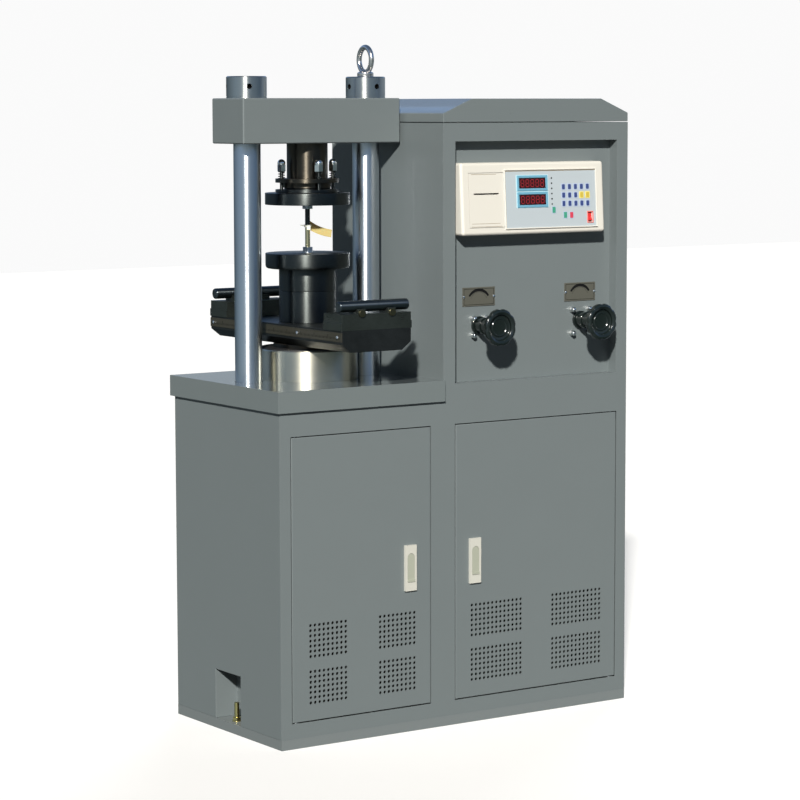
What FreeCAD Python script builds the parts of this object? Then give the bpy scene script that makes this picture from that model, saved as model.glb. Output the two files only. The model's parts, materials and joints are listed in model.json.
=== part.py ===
"""Concrete compression testing machine with a hydraulic load frame and a control cabinet.

Frame: +X is the machine's right seen from the front, +Y is its back, +Z is up.
Origin: centre of the underside of the plinth. Lengths in millimetres.
"""
import FreeCAD, Part

import math
import os
import re

import Sketcher

Vector = FreeCAD.Vector
ALONG = {
    "z": FreeCAD.Rotation(),
    "x": FreeCAD.Rotation(Vector(0, 1, 0), 90),
    "y": FreeCAD.Rotation(Vector(1, 0, 0), -90),
    "-y": FreeCAD.Rotation(Vector(1, 0, 0), 90),
    "-z": FreeCAD.Rotation(Vector(1, 0, 0), 180),
}

# Driving sizes, one spreadsheet cell each.
SIZES = {
    # Cabinet shell
    "cabinet_width": 850, "cabinet_depth": 406, "low_width": 384,
    "low_height": 660, "tall_height": 1212, "panel_sheet": 2,
    "plinth_height": 20, "plinth_rail": 40, "plinth_skin": 4,
    "table_height": 42, "table_overhang": 7, "table_skin": 4, "table_lip": 22,
    "roof_rim": 19, "roof_height": 48, "roof_inset": 70,
    "recess_from_right": 27.5, "recess_from_divide": 29, "recess_rise": 33.5,
    "recess_below_roof": 36.5, "recess_depth": 25,
    "pocket_width": 97, "pocket_height": 100.5, "pocket_depth": 50,
    # Floor anchors
    "anchor_inset": 20, "anchor_radius": 5, "anchor_hole_radius": 5.5, "anchor_rise": 38,
    "anchor_nut_flats": 16, "anchor_nut_height": 6.5, "anchor_washer_radius": 9.5,
    "anchor_washer_height": 1.5, "thread_gap": 0.1,
    # Doors, hinges and locks
    "door_gap": 2, "door_depth": 20, "door_bottom": 52, "door_below_table": 49.5,
    "left_door_inset": 26, "left_door_stile": 32, "right_door_inset": 27, "right_door_stile": 30,
    "hinge_inset": 10, "hinge_setback": 7, "hinge_pin_radius": 3, "hinge_running": 0.05,
    "ear_width": 16, "ear_height": 4, "ear_reach": 13, "pin_engagement": 6, "collar_radius": 4.6,
    "collar_play": 0.3, "pin_head": 2,
    "lock_from_free_edge_left": 50.5, "lock_from_free_edge_right": 45.5, "lock_centre_height": 332,
    "lock_plate_width": 27, "lock_plate_height": 92, "lock_plate_proud": 5.6,
    "lock_block_width": 22, "lock_block_height": 62, "lock_block_depth": 12, "lock_fit": 0.2,
    "lever_width": 16.4, "lever_length": 57, "lever_thickness": 5, "lever_play": 0.5,
    "lever_low": 18, "lever_pin_radius": 1.2, "lever_pin_drop": 8.2, "lock_recess": 10,
    "lever_lip_height": 5, "lever_lip_proud": 1.6,
    "cam_shaft_radius": 4, "cam_shaft_socket": 5.5, "cam_width": 14, "cam_thickness": 3,
    "cam_reach": 58, "cam_tail": 9, "cam_gap": 1, "cam_shaft_play": 0.5, "lock_running": 0.05,
    # Load frame
    "load_from_left": 194, "column_pitch": 280, "column_radius": 27, "spigot_radius": 22,
    "beam_below_table": 10, "base_beam_height": 90, "base_beam_width": 368, "base_beam_depth": 220,
    "leg_web": 8, "leg_flange": 60, "leg_depth": 160, "leg_offset": 35,
    "crosshead_width": 368, "crosshead_depth": 120, "column_length": 522.5,
    "crosshead_height": 89, "edge_bevel": 2,
    "nut_radius": 40, "nut_height": 43, "lower_nut_height": 38, "nut_bevel": 2,
    "nut_groove_up": 3, "nut_groove_width": 1, "nut_groove_depth": 0.8,
    "spanner_hole_radius": 5.3, "spanner_hole_depth": 12, "spanner_hole_drop": 20,
    "left_nut_turn": -23, "right_nut_turn": 2,
    "eye_collar_radius": 16.5, "eye_collar_height": 13, "eye_collar_edge": 8, "eye_collar_top": 10,
    "eye_shank_radius": 8, "eye_shank": 28,
    "eye_ring_radius": 25.1, "eye_section_radius": 5.4, "eye_centre": 33.8, "eye_turn": -94,
    # Hydraulic ram
    "cylinder_radius": 99, "cylinder_height": 113, "cylinder_floor": 25, "ram_radius": 70,
    "ram_running": 0.05, "ram_rise": 10, "ram_spigot_radius": 25, "ram_spigot": 10,
    "port_height": 17, "port_boss_radius": 13, "port_boss": 22, "riser_radius": 4,
    "table_clearance": 1.5,
    # Bending beam, cradles and rollers
    "bend_height": 42.5, "bend_width": 160, "bend_length": 498,
    "bend_bevel_wide": 21, "bend_bevel_high": 16,
    "strip_height": 18, "strip_rise": 21, "strip_thickness": 1.5,
    "strip_rivet_radius": 3, "strip_rivet_head": 1.2, "strip_rivet_inset": 14, "strip_rivet_near": 89,
    "cradle_width": 164, "cradle_length": 66, "cradle_base": 15, "cradle_upper_width": 160,
    "cradle_upper": 16.5, "saddle_spread": 35, "saddle_width": 18, "saddle_height": 10,
    "roller_radius": 11, "roller_length": 160, "roller_lift": 3.4, "roller_running": 0.08,
    "roller_round": 3, "roller_inset": 15, "cradle_screw_radius": 7.5, "cradle_screw_head": 4,
    "cradle_screw_shank_radius": 4, "cradle_screw_shank": 7, "cradle_screw_up": 1.2,
    # Platens and spherical seat
    "spacer_radius": 58, "lower_spacer_height": 63, "upper_spacer_height": 44.5,
    "spacer_spigot_radius": 20, "spacer_spigot": 6, "spigot_gap": 0.1, "spacer_bevel": 1,
    "platen_radius": 85, "lower_platen_height": 30.5, "lower_platen_round": 7,
    "seat_height": 122.2, "upper_platen_height": 23.5, "upper_platen_bevel": 1,
    "ball_height": 56.6, "ball_neck_radius": 48, "seat_gap": 0.3,
    "ring_radius": 64, "ring_height": 6.5, "ring_relief": 2, "ring_relief_height": 0.9,
    "seat_boss_radius": 50, "seat_boss_low": 33.7, "flange_low": 43.9, "flange_height": 7.7,
    "stem_radius": 41, "stem_spigot": 50,
    "seat_stud_circle": 56, "seat_stud_radius": 4, "seat_stud_turn": -8.5, "seat_stud_play": 2,
    "seat_spring_radius": 7, "seat_spring_hollow": 4.8, "seat_spring_height": 15,
    "seat_nut_flats": 16, "seat_nut_height": 13, "acorn_dome": 8, "acorn_centre": 3,
    # Transit stud between the platens, with its tie and strap
    "transit_radius": 5, "transit_socket": 18, "transit_reach": 6,
    "transit_foot_flats": 19, "transit_foot_height": 9.5, "transit_washer_radius": 11,
    "transit_washer_height": 2, "transit_top_flats": 20, "transit_top_height": 9,
    "transit_top_play": 0.7, "platen_bore_radius": 8, "stem_bore_radius": 9, "stem_bore": 14,
    "tie_above_middle": 3.1, "tie_band": 2, "tie_band_height": 4.5, "tie_head": 7.4,
    "tie_head_depth": 4.5, "tie_head_height": 10, "tie_head_left": 1.2, "tie_tail": 13,
    "tie_tail_thickness": 1.2, "tie_tail_height": 2.4, "tie_turn": 34,
    "strap_bend_radius": 100, "strap_thickness": 0.9, "strap_gap": 0.02,
    "strap_width": 15.5, "strap_start": 97, "strap_angle": 30,
    "strap_centre_across": 60, "strap_centre_up": 89.1,
    # Controller
    "controller_inset": 8, "controller_from_right": 41.5, "controller_drop": 43,
    "controller_height": 144.5, "controller_top_proud": 5, "controller_bottom_proud": 14,
    "controller_round": 6,
    "cover_inset": 19, "cover_width": 86, "cover_low": 16, "cover_height": 108,
    "cover_thickness": 3, "cover_play": 0.9, "cover_pin_radius": 1, "cover_pin": 4, "cover_pin_play": 0.3,
    "cover_slot_width": 62, "cover_slot_height": 3, "cover_slot_drop": 40, "bay_depth": 28,
    "bay_margin": 6,
    "membrane_inset": 105, "membrane_from_right": 23, "membrane_low": 13, "membrane_height": 115,
    "membrane_thickness": 0.8,
    "switch_from_right": 38.5, "switch_low": 31, "switch_width": 11, "switch_half": 8,
    "switch_depth": 5, "switch_tip": 4.5, "switch_valley": 2.5, "switch_turn": 12,
    "switch_foot_half": 4, "switch_foot_depth": 4,
    "switch_well_half": 9.8, "switch_well_depth": 12, "switch_play": 0.4,
    "switch_pin_radius": 1, "switch_pin": 2, "switch_pin_play": 0.2,
    # Valves and dial plates on the instrument panel
    "left_valve_from_recess": 74.5, "right_valve_from_right": 105, "valve_rise": 112,
    "valve_block": 60, "valve_block_depth": 50, "valve_neck_radius": 15, "valve_neck": 46,
    "neck_hole_gap": 0.5, "spindle_radius": 8, "spindle_running": 0.05, "spindle_length": 95.5,
    "spindle_inside": 26, "spindle_nose_radius": 6, "spindle_nose": 17,
    "wheel_radius": 37.5, "wheel_depth": 20, "wheel_back": 60, "wheel_hub_back": 9,
    "wheel_hub_radius": 13, "wheel_step": 5, "wheel_round": 4, "wheel_rim": 11, "wheel_dish": 8,
    "wheel_web": 4, "wheel_lobes": 8, "lobe_cut_radius": 12, "lobe_cut_out": 47.6,
    "left_stud_across": 32, "left_stud_up": 34, "right_stud_across": 43, "right_stud_up": 49,
    "stud_drop": 2.5, "valve_stud_radius": 3, "valve_stud_hole_gap": 0.3, "valve_stud_seat": 8,
    "valve_nut_flats": 10, "valve_nut_height": 6, "valve_nut_neck": 4.7, "valve_nut_dome": 5.2,
    "valve_stud_proud": 14, "valve_stud_end_gap": 1.2,
    "plate_width": 80, "plate_height": 38, "plate_thickness": 1.5, "plate_lift": 58,
    # Hydraulic unit in the tall cabinet
    "tank_from_divide": 30, "tank_side_gap": 12, "tank_depth": 290, "tank_height": 230,
    "tank_wall": 3, "tank_setback": 70, "pump_half": 38, "pump_nose": 8, "pump_drop": 130,
    "unit_height": 72, "motor_radius": 62, "motor_end_gap": 20, "motor_fins": 18,
    "motor_fin_height": 7, "motor_fin_width": 3, "motor_fin_inset": 25, "motor_from_pump": 72,
    "motor_foot_inset": 34, "motor_foot_width": 99, "motor_foot_height": 29,
    "shaft_radius": 8, "shaft_running": 0.05, "shaft_inside": 30, "hub_radius": 24,
    "hub_length": 44, "hub_shift": 2, "pipe_radius": 5, "pipe_bend": 25, "pipe_row": 155,
    "feed_setback": 30, "return_offset": 25, "return_dip": 20, "return_hole_gap": 1,
    "gland_radius": 12, "gland_hole_radius": 8, "gland_bore_radius": 5, "gland_height": 16,
    "gland_inside": 6, "gland_from_right": 60, "gland_level": 120,
}

# Places worked out from the sizes.
PLACES = {
    "left": "-cabinet_width / 2",
    "right": "cabinet_width / 2",
    "front": "-cabinet_depth / 2",
    "back": "cabinet_depth / 2",
    "divide": "left + low_width",
    "inner_height": "tall_height - plinth_height",
    "load_x": "left + load_from_left",
    "table_top_z": "low_height + table_height",
    "door_top": "low_height - door_below_table",
    "door_height": "door_top - door_bottom",
    "left_door_width": "low_width - left_door_inset - left_door_stile",
    "right_door_width": "cabinet_width - low_width - right_door_inset - right_door_stile",
    "left_door_x": "left + left_door_inset",
    "right_door_x": "right - right_door_inset - right_door_width",
    "left_hinge_x": "left_door_x + hinge_inset",
    "right_hinge_x": "right - right_door_inset - hinge_inset",
    "hinge_y": "front + hinge_setback",
    "left_lock_x": "left_door_x + left_door_width - lock_from_free_edge_left",
    "right_lock_x": "right_door_x + lock_from_free_edge_right",
    "lever_base_z": "lock_centre_height - lock_plate_height / 2 + lever_low",
    "lever_pin_z": "lever_base_z + lever_length - lever_pin_drop",
    "lock_face": "front - lock_plate_proud",
    "recess_x": "divide + recess_from_divide",
    "recess_width": "right - recess_from_right - recess_x",
    "recess_bottom": "low_height + recess_rise",
    "recess_height": "tall_height - recess_below_roof - recess_bottom",
    "panel_y": "front + recess_depth",
    "beam_top": "low_height - beam_below_table",
    "beam_bottom": "beam_top - base_beam_height",
    "crosshead_bottom": "beam_top + column_length",
    "crosshead_top": "crosshead_bottom + crosshead_height",
    "cylinder_top": "beam_top + cylinder_height",
    "bend_bottom": "cylinder_top + ram_rise",
    "bend_top": "bend_bottom + bend_height",
    "strip_low": "bend_bottom + strip_rise",
    "strip_rivet_far": "bend_length / 2 - strip_rivet_inset",
    "saddle_z": "bend_top + cradle_base + cradle_upper",
    "roller_z": "saddle_z + roller_lift + roller_radius",
    "lower_platen_z": "bend_top + lower_spacer_height + upper_spacer_height",
    "lower_face": "lower_platen_z + lower_platen_height",
    "ball_z": "crosshead_bottom - seat_height",
    "test_gap": "ball_z - lower_face",
    "rod_middle": "lower_face + test_gap / 2",
    "ring_z": "ball_z + upper_platen_height",
    "flange_z": "ball_z + flange_low",
    "spring_z": "flange_z + flange_height",
    "seat_nut_z": "spring_z + seat_spring_height",
    "controller_x": "recess_x + controller_inset",
    "controller_width": "recess_width - controller_inset - controller_from_right",
    "membrane_width": "controller_width - membrane_inset - membrane_from_right",
    "switch_x": "controller_x + controller_width - switch_from_right",
    "controller_top": "tall_height - recess_below_roof - controller_drop",
    "controller_bottom": "controller_top - controller_height",
    "low_face": "front - controller_bottom_proud",
    "high_face": "front - controller_top_proud",
    "face_lean": "(high_face - low_face) / controller_height",
    "left_valve_x": "recess_x + left_valve_from_recess",
    "right_valve_x": "right - right_valve_from_right",
    "valve_height": "recess_bottom + valve_rise",
    "block_y": "panel_y + panel_sheet",
    "tank_x": "divide + tank_from_divide",
    "tank_width": "right - pocket_depth - tank_side_gap - tank_x",
    "tank_y": "front + tank_setback",
    "tank_top": "plinth_height + tank_height",
    "unit_z": "tank_top + unit_height",
    "unit_y": "tank_y + tank_depth / 2",
    "pump_x": "left_valve_x",
    "motor_x": "pump_x + pump_half + motor_from_pump",
    "motor_length": "tank_x + tank_width - motor_end_gap - motor_x",
    "return_y": "unit_y + motor_radius + return_offset",
    "port_z": "beam_top + port_height",
    "port_y": "cylinder_radius + port_boss - 2",
}

doc = FreeCAD.newDocument("compression_testing_machine")
sheet = doc.addObject("Spreadsheet::Sheet", "sizes")
for row, (alias, size) in enumerate(SIZES.items(), start=1):
    sheet.set(f"A{row}", alias)
    sheet.set(f"B{row}", str(size))
    sheet.setAlias(f"B{row}", alias)
doc.recompute()

NODES = []


def formula(text):
    """Expression in which every size names its cell and every place is written out."""
    def word(match):
        name = match.group()
        if name in SIZES:
            return f"sizes.{name}"
        if name in PLACES:
            return f"({formula(PLACES[name])})"
        return name
    return re.sub(r"[a-z]\w*", word, str(text))


def bind(thing, **sizes):
    for name, text in sizes.items():
        thing.setExpression(name, formula(text))


def place(thing, x=0, y=0, z=0, turn=None):
    thing.Placement = FreeCAD.Placement(Vector(), turn or FreeCAD.Rotation())
    for axis, text in zip("xyz", (x, y, z)):
        thing.setExpression(f"Placement.Base.{axis}", formula(text))
    return thing


def add(kind, name):
    thing = doc.addObject(kind, name)
    thing.Label = name
    return thing


def corner(name, x, y, z):
    """Point that follows the sizes."""
    thing = add("Part::Vertex", name)
    bind(thing, X=x, Y=y, Z=z)
    return thing


def box(name, x, y, z, length, width, height):
    thing = add("Part::Box", name)
    bind(thing, Length=length, Width=width, Height=height)
    return place(thing, x, y, z)


def rod(name, x, y, z, radius, height, along="z"):
    thing = add("Part::Cylinder", name)
    bind(thing, Radius=radius, Height=height)
    return place(thing, x, y, z, ALONG[along])


def ball(name, x, y, z, radius):
    thing = add("Part::Sphere", name)
    bind(thing, Radius=radius)
    return place(thing, x, y, z)


def hexagon(name, x, y, z, flats, height, along="z"):
    thing = add("Part::Prism", name)
    thing.Polygon = 6
    bind(thing, Circumradius=f"({flats}) / sqrt(3)", Height=height)
    return place(thing, x, y, z, ALONG[along])


def join(name, *pieces):
    thing = add("Part::MultiFuse", name)
    thing.Shapes = list(pieces)
    return thing


def group(name, *pieces):
    thing = add("Part::Compound", name)
    thing.Links = list(pieces)
    return thing


def cut(name, base, *tools):
    thing = add("Part::Cut", name)
    thing.Base = base
    thing.Tool = tools[0] if len(tools) == 1 else join(f"{name}_cuts", *tools)
    return thing


def common(name, first, second):
    thing = add("Part::Common", name)
    thing.Base = first
    thing.Tool = second
    return thing


def outline(body, role, points):
    """Closed sketch of straight lines whose corners are bound to the sizes."""
    sketch = body.newObject("Sketcher::SketchObject", f"{body.Name}_outline")
    plane = next(feature for feature in body.Origin.OriginFeatures if feature.Role == role)
    sketch.AttachmentSupport = [(plane, "")]
    sketch.MapMode = "FlatFace"
    count = len(points)
    turns = [2 * math.pi * index / count for index in range(count)]
    start = [Vector(100 * math.cos(turn), 100 * math.sin(turn), 0) for turn in turns]
    for index in range(count):
        sketch.addGeometry(Part.LineSegment(start[index], start[(index + 1) % count]))
    for index in range(count):
        sketch.addConstraint(Sketcher.Constraint("Coincident", index, 2, (index + 1) % count, 1))
    for index, (across, up) in enumerate(points):
        for kind, at, text in (("DistanceX", start[index].x, across), ("DistanceY", start[index].y, up)):
            held = sketch.addConstraint(Sketcher.Constraint(kind, -1, 1, index, 1, at))
            sketch.setExpression(f"Constraints[{held}]", formula(text))
    return sketch


def prism(name, role, points, length, x=0, y=0, z=0):
    """Outline padded along +X, +Y or +Z, by the plane's role."""
    body = add("PartDesign::Body", name)
    pad = body.newObject("PartDesign::Pad", f"{name}_pad")
    sketch = outline(body, role, points)
    pad.Profile = sketch
    pad.Reversed = role == "XZ_Plane"
    bind(pad, Length=length)
    body.Tip = pad
    return place(body, x, y, z)


def lathe(name, points, x, y, z, along="z"):
    """Outline of radius and height pairs, turned about its own axis."""
    body = add("PartDesign::Body", name)
    turned = body.newObject("PartDesign::Revolution", f"{name}_turned")
    sketch = outline(body, "XZ_Plane", points)
    turned.Profile = sketch
    turned.ReferenceAxis = (sketch, ["V_Axis"])
    turned.Angle = 360
    body.Tip = turned
    return place(body, x, y, z, ALONG[along])


def disc(name, radius, height, bevel, x, y, z, along="z"):
    """Turned disc with both edges bevelled."""
    points = [
        (0, 0), (f"{radius} - {bevel}", 0), (radius, bevel),
        (radius, f"{height} - {bevel}"), (f"{radius} - {bevel}", height), (0, height),
    ]
    return lathe(name, points, x, y, z, along)


def keep(thing):
    """Node that gets its own file."""
    NODES.append(thing)
    return thing


def plinth():
    blank = box("plinth_blank", "left", "front", 0, "cabinet_width", "cabinet_depth", "plinth_height")
    hollow = box(
        "plinth_hollow", "left + plinth_rail", "front + plinth_rail", -1,
        "cabinet_width - 2 * plinth_rail", "cabinet_depth - 2 * plinth_rail",
        "plinth_height - plinth_skin + 1",
    )
    holes = [
        rod(f"plinth_hole_{side}", x, 0, -1, "anchor_hole_radius", "plinth_height + 2")
        for side, x in (("left", "left + anchor_inset"), ("right", "right - anchor_inset"))
    ]
    keep(cut("plinth", blank, hollow, *holes))


def side_panel(side, height, sheet_x, pocket_x, hollow_x):
    """Outer wall with the folded pocket that leaves room for a floor anchor."""
    name = f"{side}_side_panel"
    wall = box(
        f"{name}_wall", sheet_x, "front + panel_sheet", "plinth_height",
        "panel_sheet", "cabinet_depth - panel_sheet", f"{height} - plinth_height",
    )
    window = box(
        f"{name}_window", f"{sheet_x} - 1", "-pocket_width / 2", "plinth_height - 1",
        "panel_sheet + 2", "pocket_width", "pocket_height + 1",
    )
    shell = box(
        f"{name}_shell", pocket_x, "-pocket_width / 2 - panel_sheet", "plinth_height",
        "pocket_depth", "pocket_width + 2 * panel_sheet", "pocket_height + panel_sheet",
    )
    hollow = box(
        f"{name}_hollow", hollow_x, "-pocket_width / 2", "plinth_height - 1",
        "pocket_depth - panel_sheet + 1", "pocket_width", "pocket_height + 1",
    )
    pierced = cut(f"{name}_pierced", wall, window)
    pocket = cut(f"{name}_pocket", shell, hollow)
    keep(join(name, pierced, pocket))


def inner_walls():
    wall = box(
        "partition_wall", "divide", "front + panel_sheet", "plinth_height",
        "panel_sheet", "cabinet_depth - 2 * panel_sheet", "inner_height",
    )
    passage = rod(
        "partition_passage", "divide - 1", "pipe_row", "port_z",
        "2 * pipe_radius", "panel_sheet + 2", "x",
    )
    keep(cut("partition_panel", wall, passage))
    low_sheet = box(
        "back_sheet_low", "left + panel_sheet", "back - panel_sheet", "plinth_height",
        "low_width - panel_sheet", "panel_sheet", "low_height - plinth_height",
    )
    tall_sheet = box(
        "back_sheet_tall", "divide", "back - panel_sheet", "plinth_height",
        "cabinet_width - low_width - panel_sheet", "panel_sheet", "inner_height",
    )
    hole = rod(
        "back_hole", "right - gland_from_right", "back - panel_sheet - 1", "gland_level",
        "gland_hole_radius", "panel_sheet + 2", "y",
    )
    stem = rod(
        "gland_stem", "right - gland_from_right", "back - panel_sheet - gland_inside", "gland_level",
        "gland_hole_radius - thread_gap", "panel_sheet + gland_inside", "y",
    )
    cap = rod(
        "gland_cap", "right - gland_from_right", "back", "gland_level",
        "gland_radius", "gland_height", "y",
    )
    bore = rod(
        "gland_bore", "right - gland_from_right", "back - panel_sheet - gland_inside - 1",
        "gland_level", "gland_bore_radius", "panel_sheet + gland_inside + gland_height + 2", "y",
    )
    gland = cut("cable_gland", join("gland_solid", stem, cap), bore)
    keep(group("back_panel", low_sheet, cut("back_pierced", tall_sheet, hole), gland))


def hinge_ears():
    """Four ears behind the front face, with the holes that hold the door pins."""
    ears = []
    holes = []
    for side in ("left", "right"):
        for end, z in (("low", "door_bottom - door_gap - ear_height"), ("high", "door_top + door_gap")):
            name = f"{side}_{end}"
            ears.append(box(
                f"ear_{name}", f"{side}_hinge_x - ear_width / 2", "front + panel_sheet", z,
                "ear_width", "ear_reach", "ear_height",
            ))
            holes.append(rod(
                f"ear_hole_{name}", f"{side}_hinge_x", "hinge_y", f"{z} - 1",
                "hinge_pin_radius", "ear_height + 2",
            ))
    return ears, holes


def front_frame():
    points = [
        ("left", "plinth_height"), ("right", "plinth_height"), ("right", "tall_height"),
        ("divide", "tall_height"), ("divide", "low_height"), ("left", "low_height"),
    ]
    face = prism("front_face", "XZ_Plane", points, "panel_sheet", y="front")
    openings = [
        box(
            f"{side}_door_opening", f"{side}_door_x - door_gap", "front - 1", "door_bottom - door_gap",
            f"{side}_door_width + 2 * door_gap", "panel_sheet + 2", "door_height + 2 * door_gap",
        )
        for side in ("left", "right")
    ]
    openings.append(box(
        "recess_opening", "recess_x", "front - 1", "recess_bottom",
        "recess_width", "panel_sheet + 2", "recess_height",
    ))
    stops = []
    for side, x in (
        ("left", "left_door_x + left_door_width + door_gap"),
        ("right", "right_door_x - door_gap - panel_sheet"),
    ):
        stops.append(box(
            f"{side}_return", x, "front + panel_sheet", "door_bottom - door_gap",
            "panel_sheet", "door_depth - panel_sheet", "door_height + 2 * door_gap",
        ))
    ears, holes = hinge_ears()
    solid = join("front_solid", cut("front_pierced", face, *openings), *stops, *ears)
    keep(cut("front_frame", solid, *holes))


def hinge_pins():
    """Pins fixed in the ears: the upper pair hangs by a head, the lower pair carries a collar."""
    pins = []
    for side in ("left", "right"):
        upper = [
            (0, 0), ("hinge_pin_radius", 0),
            ("hinge_pin_radius", "pin_engagement + door_gap + ear_height"),
            ("collar_radius", "pin_engagement + door_gap + ear_height"),
            ("collar_radius", "pin_engagement + door_gap + ear_height + pin_head"),
            (0, "pin_engagement + door_gap + ear_height + pin_head"),
        ]
        lower = [
            (0, 0), ("hinge_pin_radius", 0), ("hinge_pin_radius", "ear_height"),
            ("collar_radius", "ear_height"),
            ("collar_radius", "ear_height + door_gap - collar_play"),
            ("hinge_pin_radius", "ear_height + door_gap - collar_play"),
            ("hinge_pin_radius", "ear_height + door_gap + pin_engagement"),
            (0, "ear_height + door_gap + pin_engagement"),
        ]
        x = f"{side}_hinge_x"
        pins.append(lathe(f"{side}_upper_pin", upper, x, "hinge_y", "door_top - pin_engagement"))
        pins.append(lathe(
            f"{side}_lower_pin", lower, x, "hinge_y", "door_bottom - door_gap - ear_height",
        ))
    keep(group("hinge_pins", *pins))


def table_top():
    blank = box(
        "table_blank", "left - table_overhang", "front - table_overhang", "low_height",
        "low_width + table_overhang", "cabinet_depth + 2 * table_overhang", "table_height",
    )
    hollow = box(
        "table_hollow", "left - table_overhang + panel_sheet", "front - table_overhang + panel_sheet",
        "low_height + panel_sheet", "low_width + table_overhang - 2 * panel_sheet",
        "cabinet_depth + 2 * table_overhang - 2 * panel_sheet",
        "table_height - panel_sheet - table_skin",
    )
    mouth = box(
        "table_mouth", "left - table_overhang + table_lip", "front - table_overhang + table_lip",
        "low_height - 1", "low_width + table_overhang - 2 * table_lip",
        "cabinet_depth + 2 * table_overhang - 2 * table_lip", "panel_sheet + 2",
    )
    holes = [rod(
        "table_ram_hole", "load_x", 0, "low_height", "cylinder_radius + table_clearance",
        "table_height + 1",
    )]
    for side, sign in (("left", "-"), ("right", "+")):
        holes.append(rod(
            f"table_{side}_hole", f"load_x {sign} column_pitch / 2", 0, "low_height",
            "column_radius + table_clearance", "table_height + 1",
        ))
    holes.append(rod(
        "table_passage", "divide - panel_sheet - 1", "pipe_row", "port_z",
        "2 * pipe_radius", "panel_sheet + 2", "x",
    ))
    keep(cut("table_top", blank, hollow, mouth, *holes))


def roof_cover():
    outer = [
        ("divide", "tall_height"), ("right", "tall_height"), ("right", "tall_height + roof_rim"),
        ("right - roof_inset", "tall_height + roof_height"),
        ("divide + roof_inset", "tall_height + roof_height"), ("divide", "tall_height + roof_rim"),
    ]
    inner = [
        ("divide + panel_sheet", "tall_height - 1"), ("right - panel_sheet", "tall_height - 1"),
        ("right - panel_sheet", "tall_height + roof_rim - panel_sheet"),
        ("right - roof_inset", "tall_height + roof_height - panel_sheet"),
        ("divide + roof_inset", "tall_height + roof_height - panel_sheet"),
        ("divide + panel_sheet", "tall_height + roof_rim - panel_sheet"),
    ]
    shell = prism("roof_shell", "XZ_Plane", outer, "cabinet_depth", y="front")
    hollow = prism(
        "roof_hollow", "XZ_Plane", inner, "cabinet_depth - 2 * panel_sheet", y="front + panel_sheet",
    )
    keep(cut("roof_cover", shell, hollow))


def stud_places(side):
    """Four corner places of a valve's fixing studs."""
    for across in ("-", "+"):
        for up in ("-", "+"):
            x = f"{side}_valve_x {across} {side}_stud_across / 2"
            z = f"valve_height - stud_drop {up} {side}_stud_up / 2"
            yield f"{side}_{'west' if across == '-' else 'east'}_{'low' if up == '-' else 'high'}", x, z


def instrument_panel():
    blank = box(
        "tray_blank", "recess_x - panel_sheet", "front + panel_sheet", "recess_bottom - panel_sheet",
        "recess_width + 2 * panel_sheet", "recess_depth", "recess_height + 2 * panel_sheet",
    )
    hollow = box(
        "tray_hollow", "recess_x", "front", "recess_bottom",
        "recess_width", "recess_depth", "recess_height",
    )
    holes = []
    for side in ("left", "right"):
        holes.append(rod(
            f"{side}_neck_hole", f"{side}_valve_x", "panel_y - 1", "valve_height",
            "valve_neck_radius + neck_hole_gap", "panel_sheet + 2", "y",
        ))
        for name, x, z in stud_places(side):
            holes.append(rod(
                f"stud_hole_{name}", x, "panel_y - 1", z,
                "valve_stud_radius + valve_stud_hole_gap", "panel_sheet + 2", "y",
            ))
    keep(cut("instrument_panel", blank, hollow, *holes))


def door(side):
    name = f"{side}_door"
    blank = box(
        f"{name}_blank", f"{side}_door_x", "front", "door_bottom",
        f"{side}_door_width", "door_depth", "door_height",
    )
    hollow = box(
        f"{name}_hollow", f"{side}_door_x + panel_sheet", "front + panel_sheet",
        "door_bottom + panel_sheet", f"{side}_door_width - 2 * panel_sheet", "door_depth",
        "door_height - 2 * panel_sheet",
    )
    lock_hole = box(
        f"{name}_lock_hole", f"{side}_lock_x - lock_block_width / 2 - lock_fit", "front - 1",
        "lock_centre_height - lock_block_height / 2 - lock_fit",
        "lock_block_width + 2 * lock_fit", "panel_sheet + 2", "lock_block_height + 2 * lock_fit",
    )
    pin_hole = rod(
        f"{name}_pin_hole", f"{side}_hinge_x", "hinge_y", "door_bottom - 1",
        "hinge_pin_radius + hinge_running", "door_height + 2",
    )
    keep(cut(name, blank, hollow, lock_hole, pin_hole))


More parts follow.
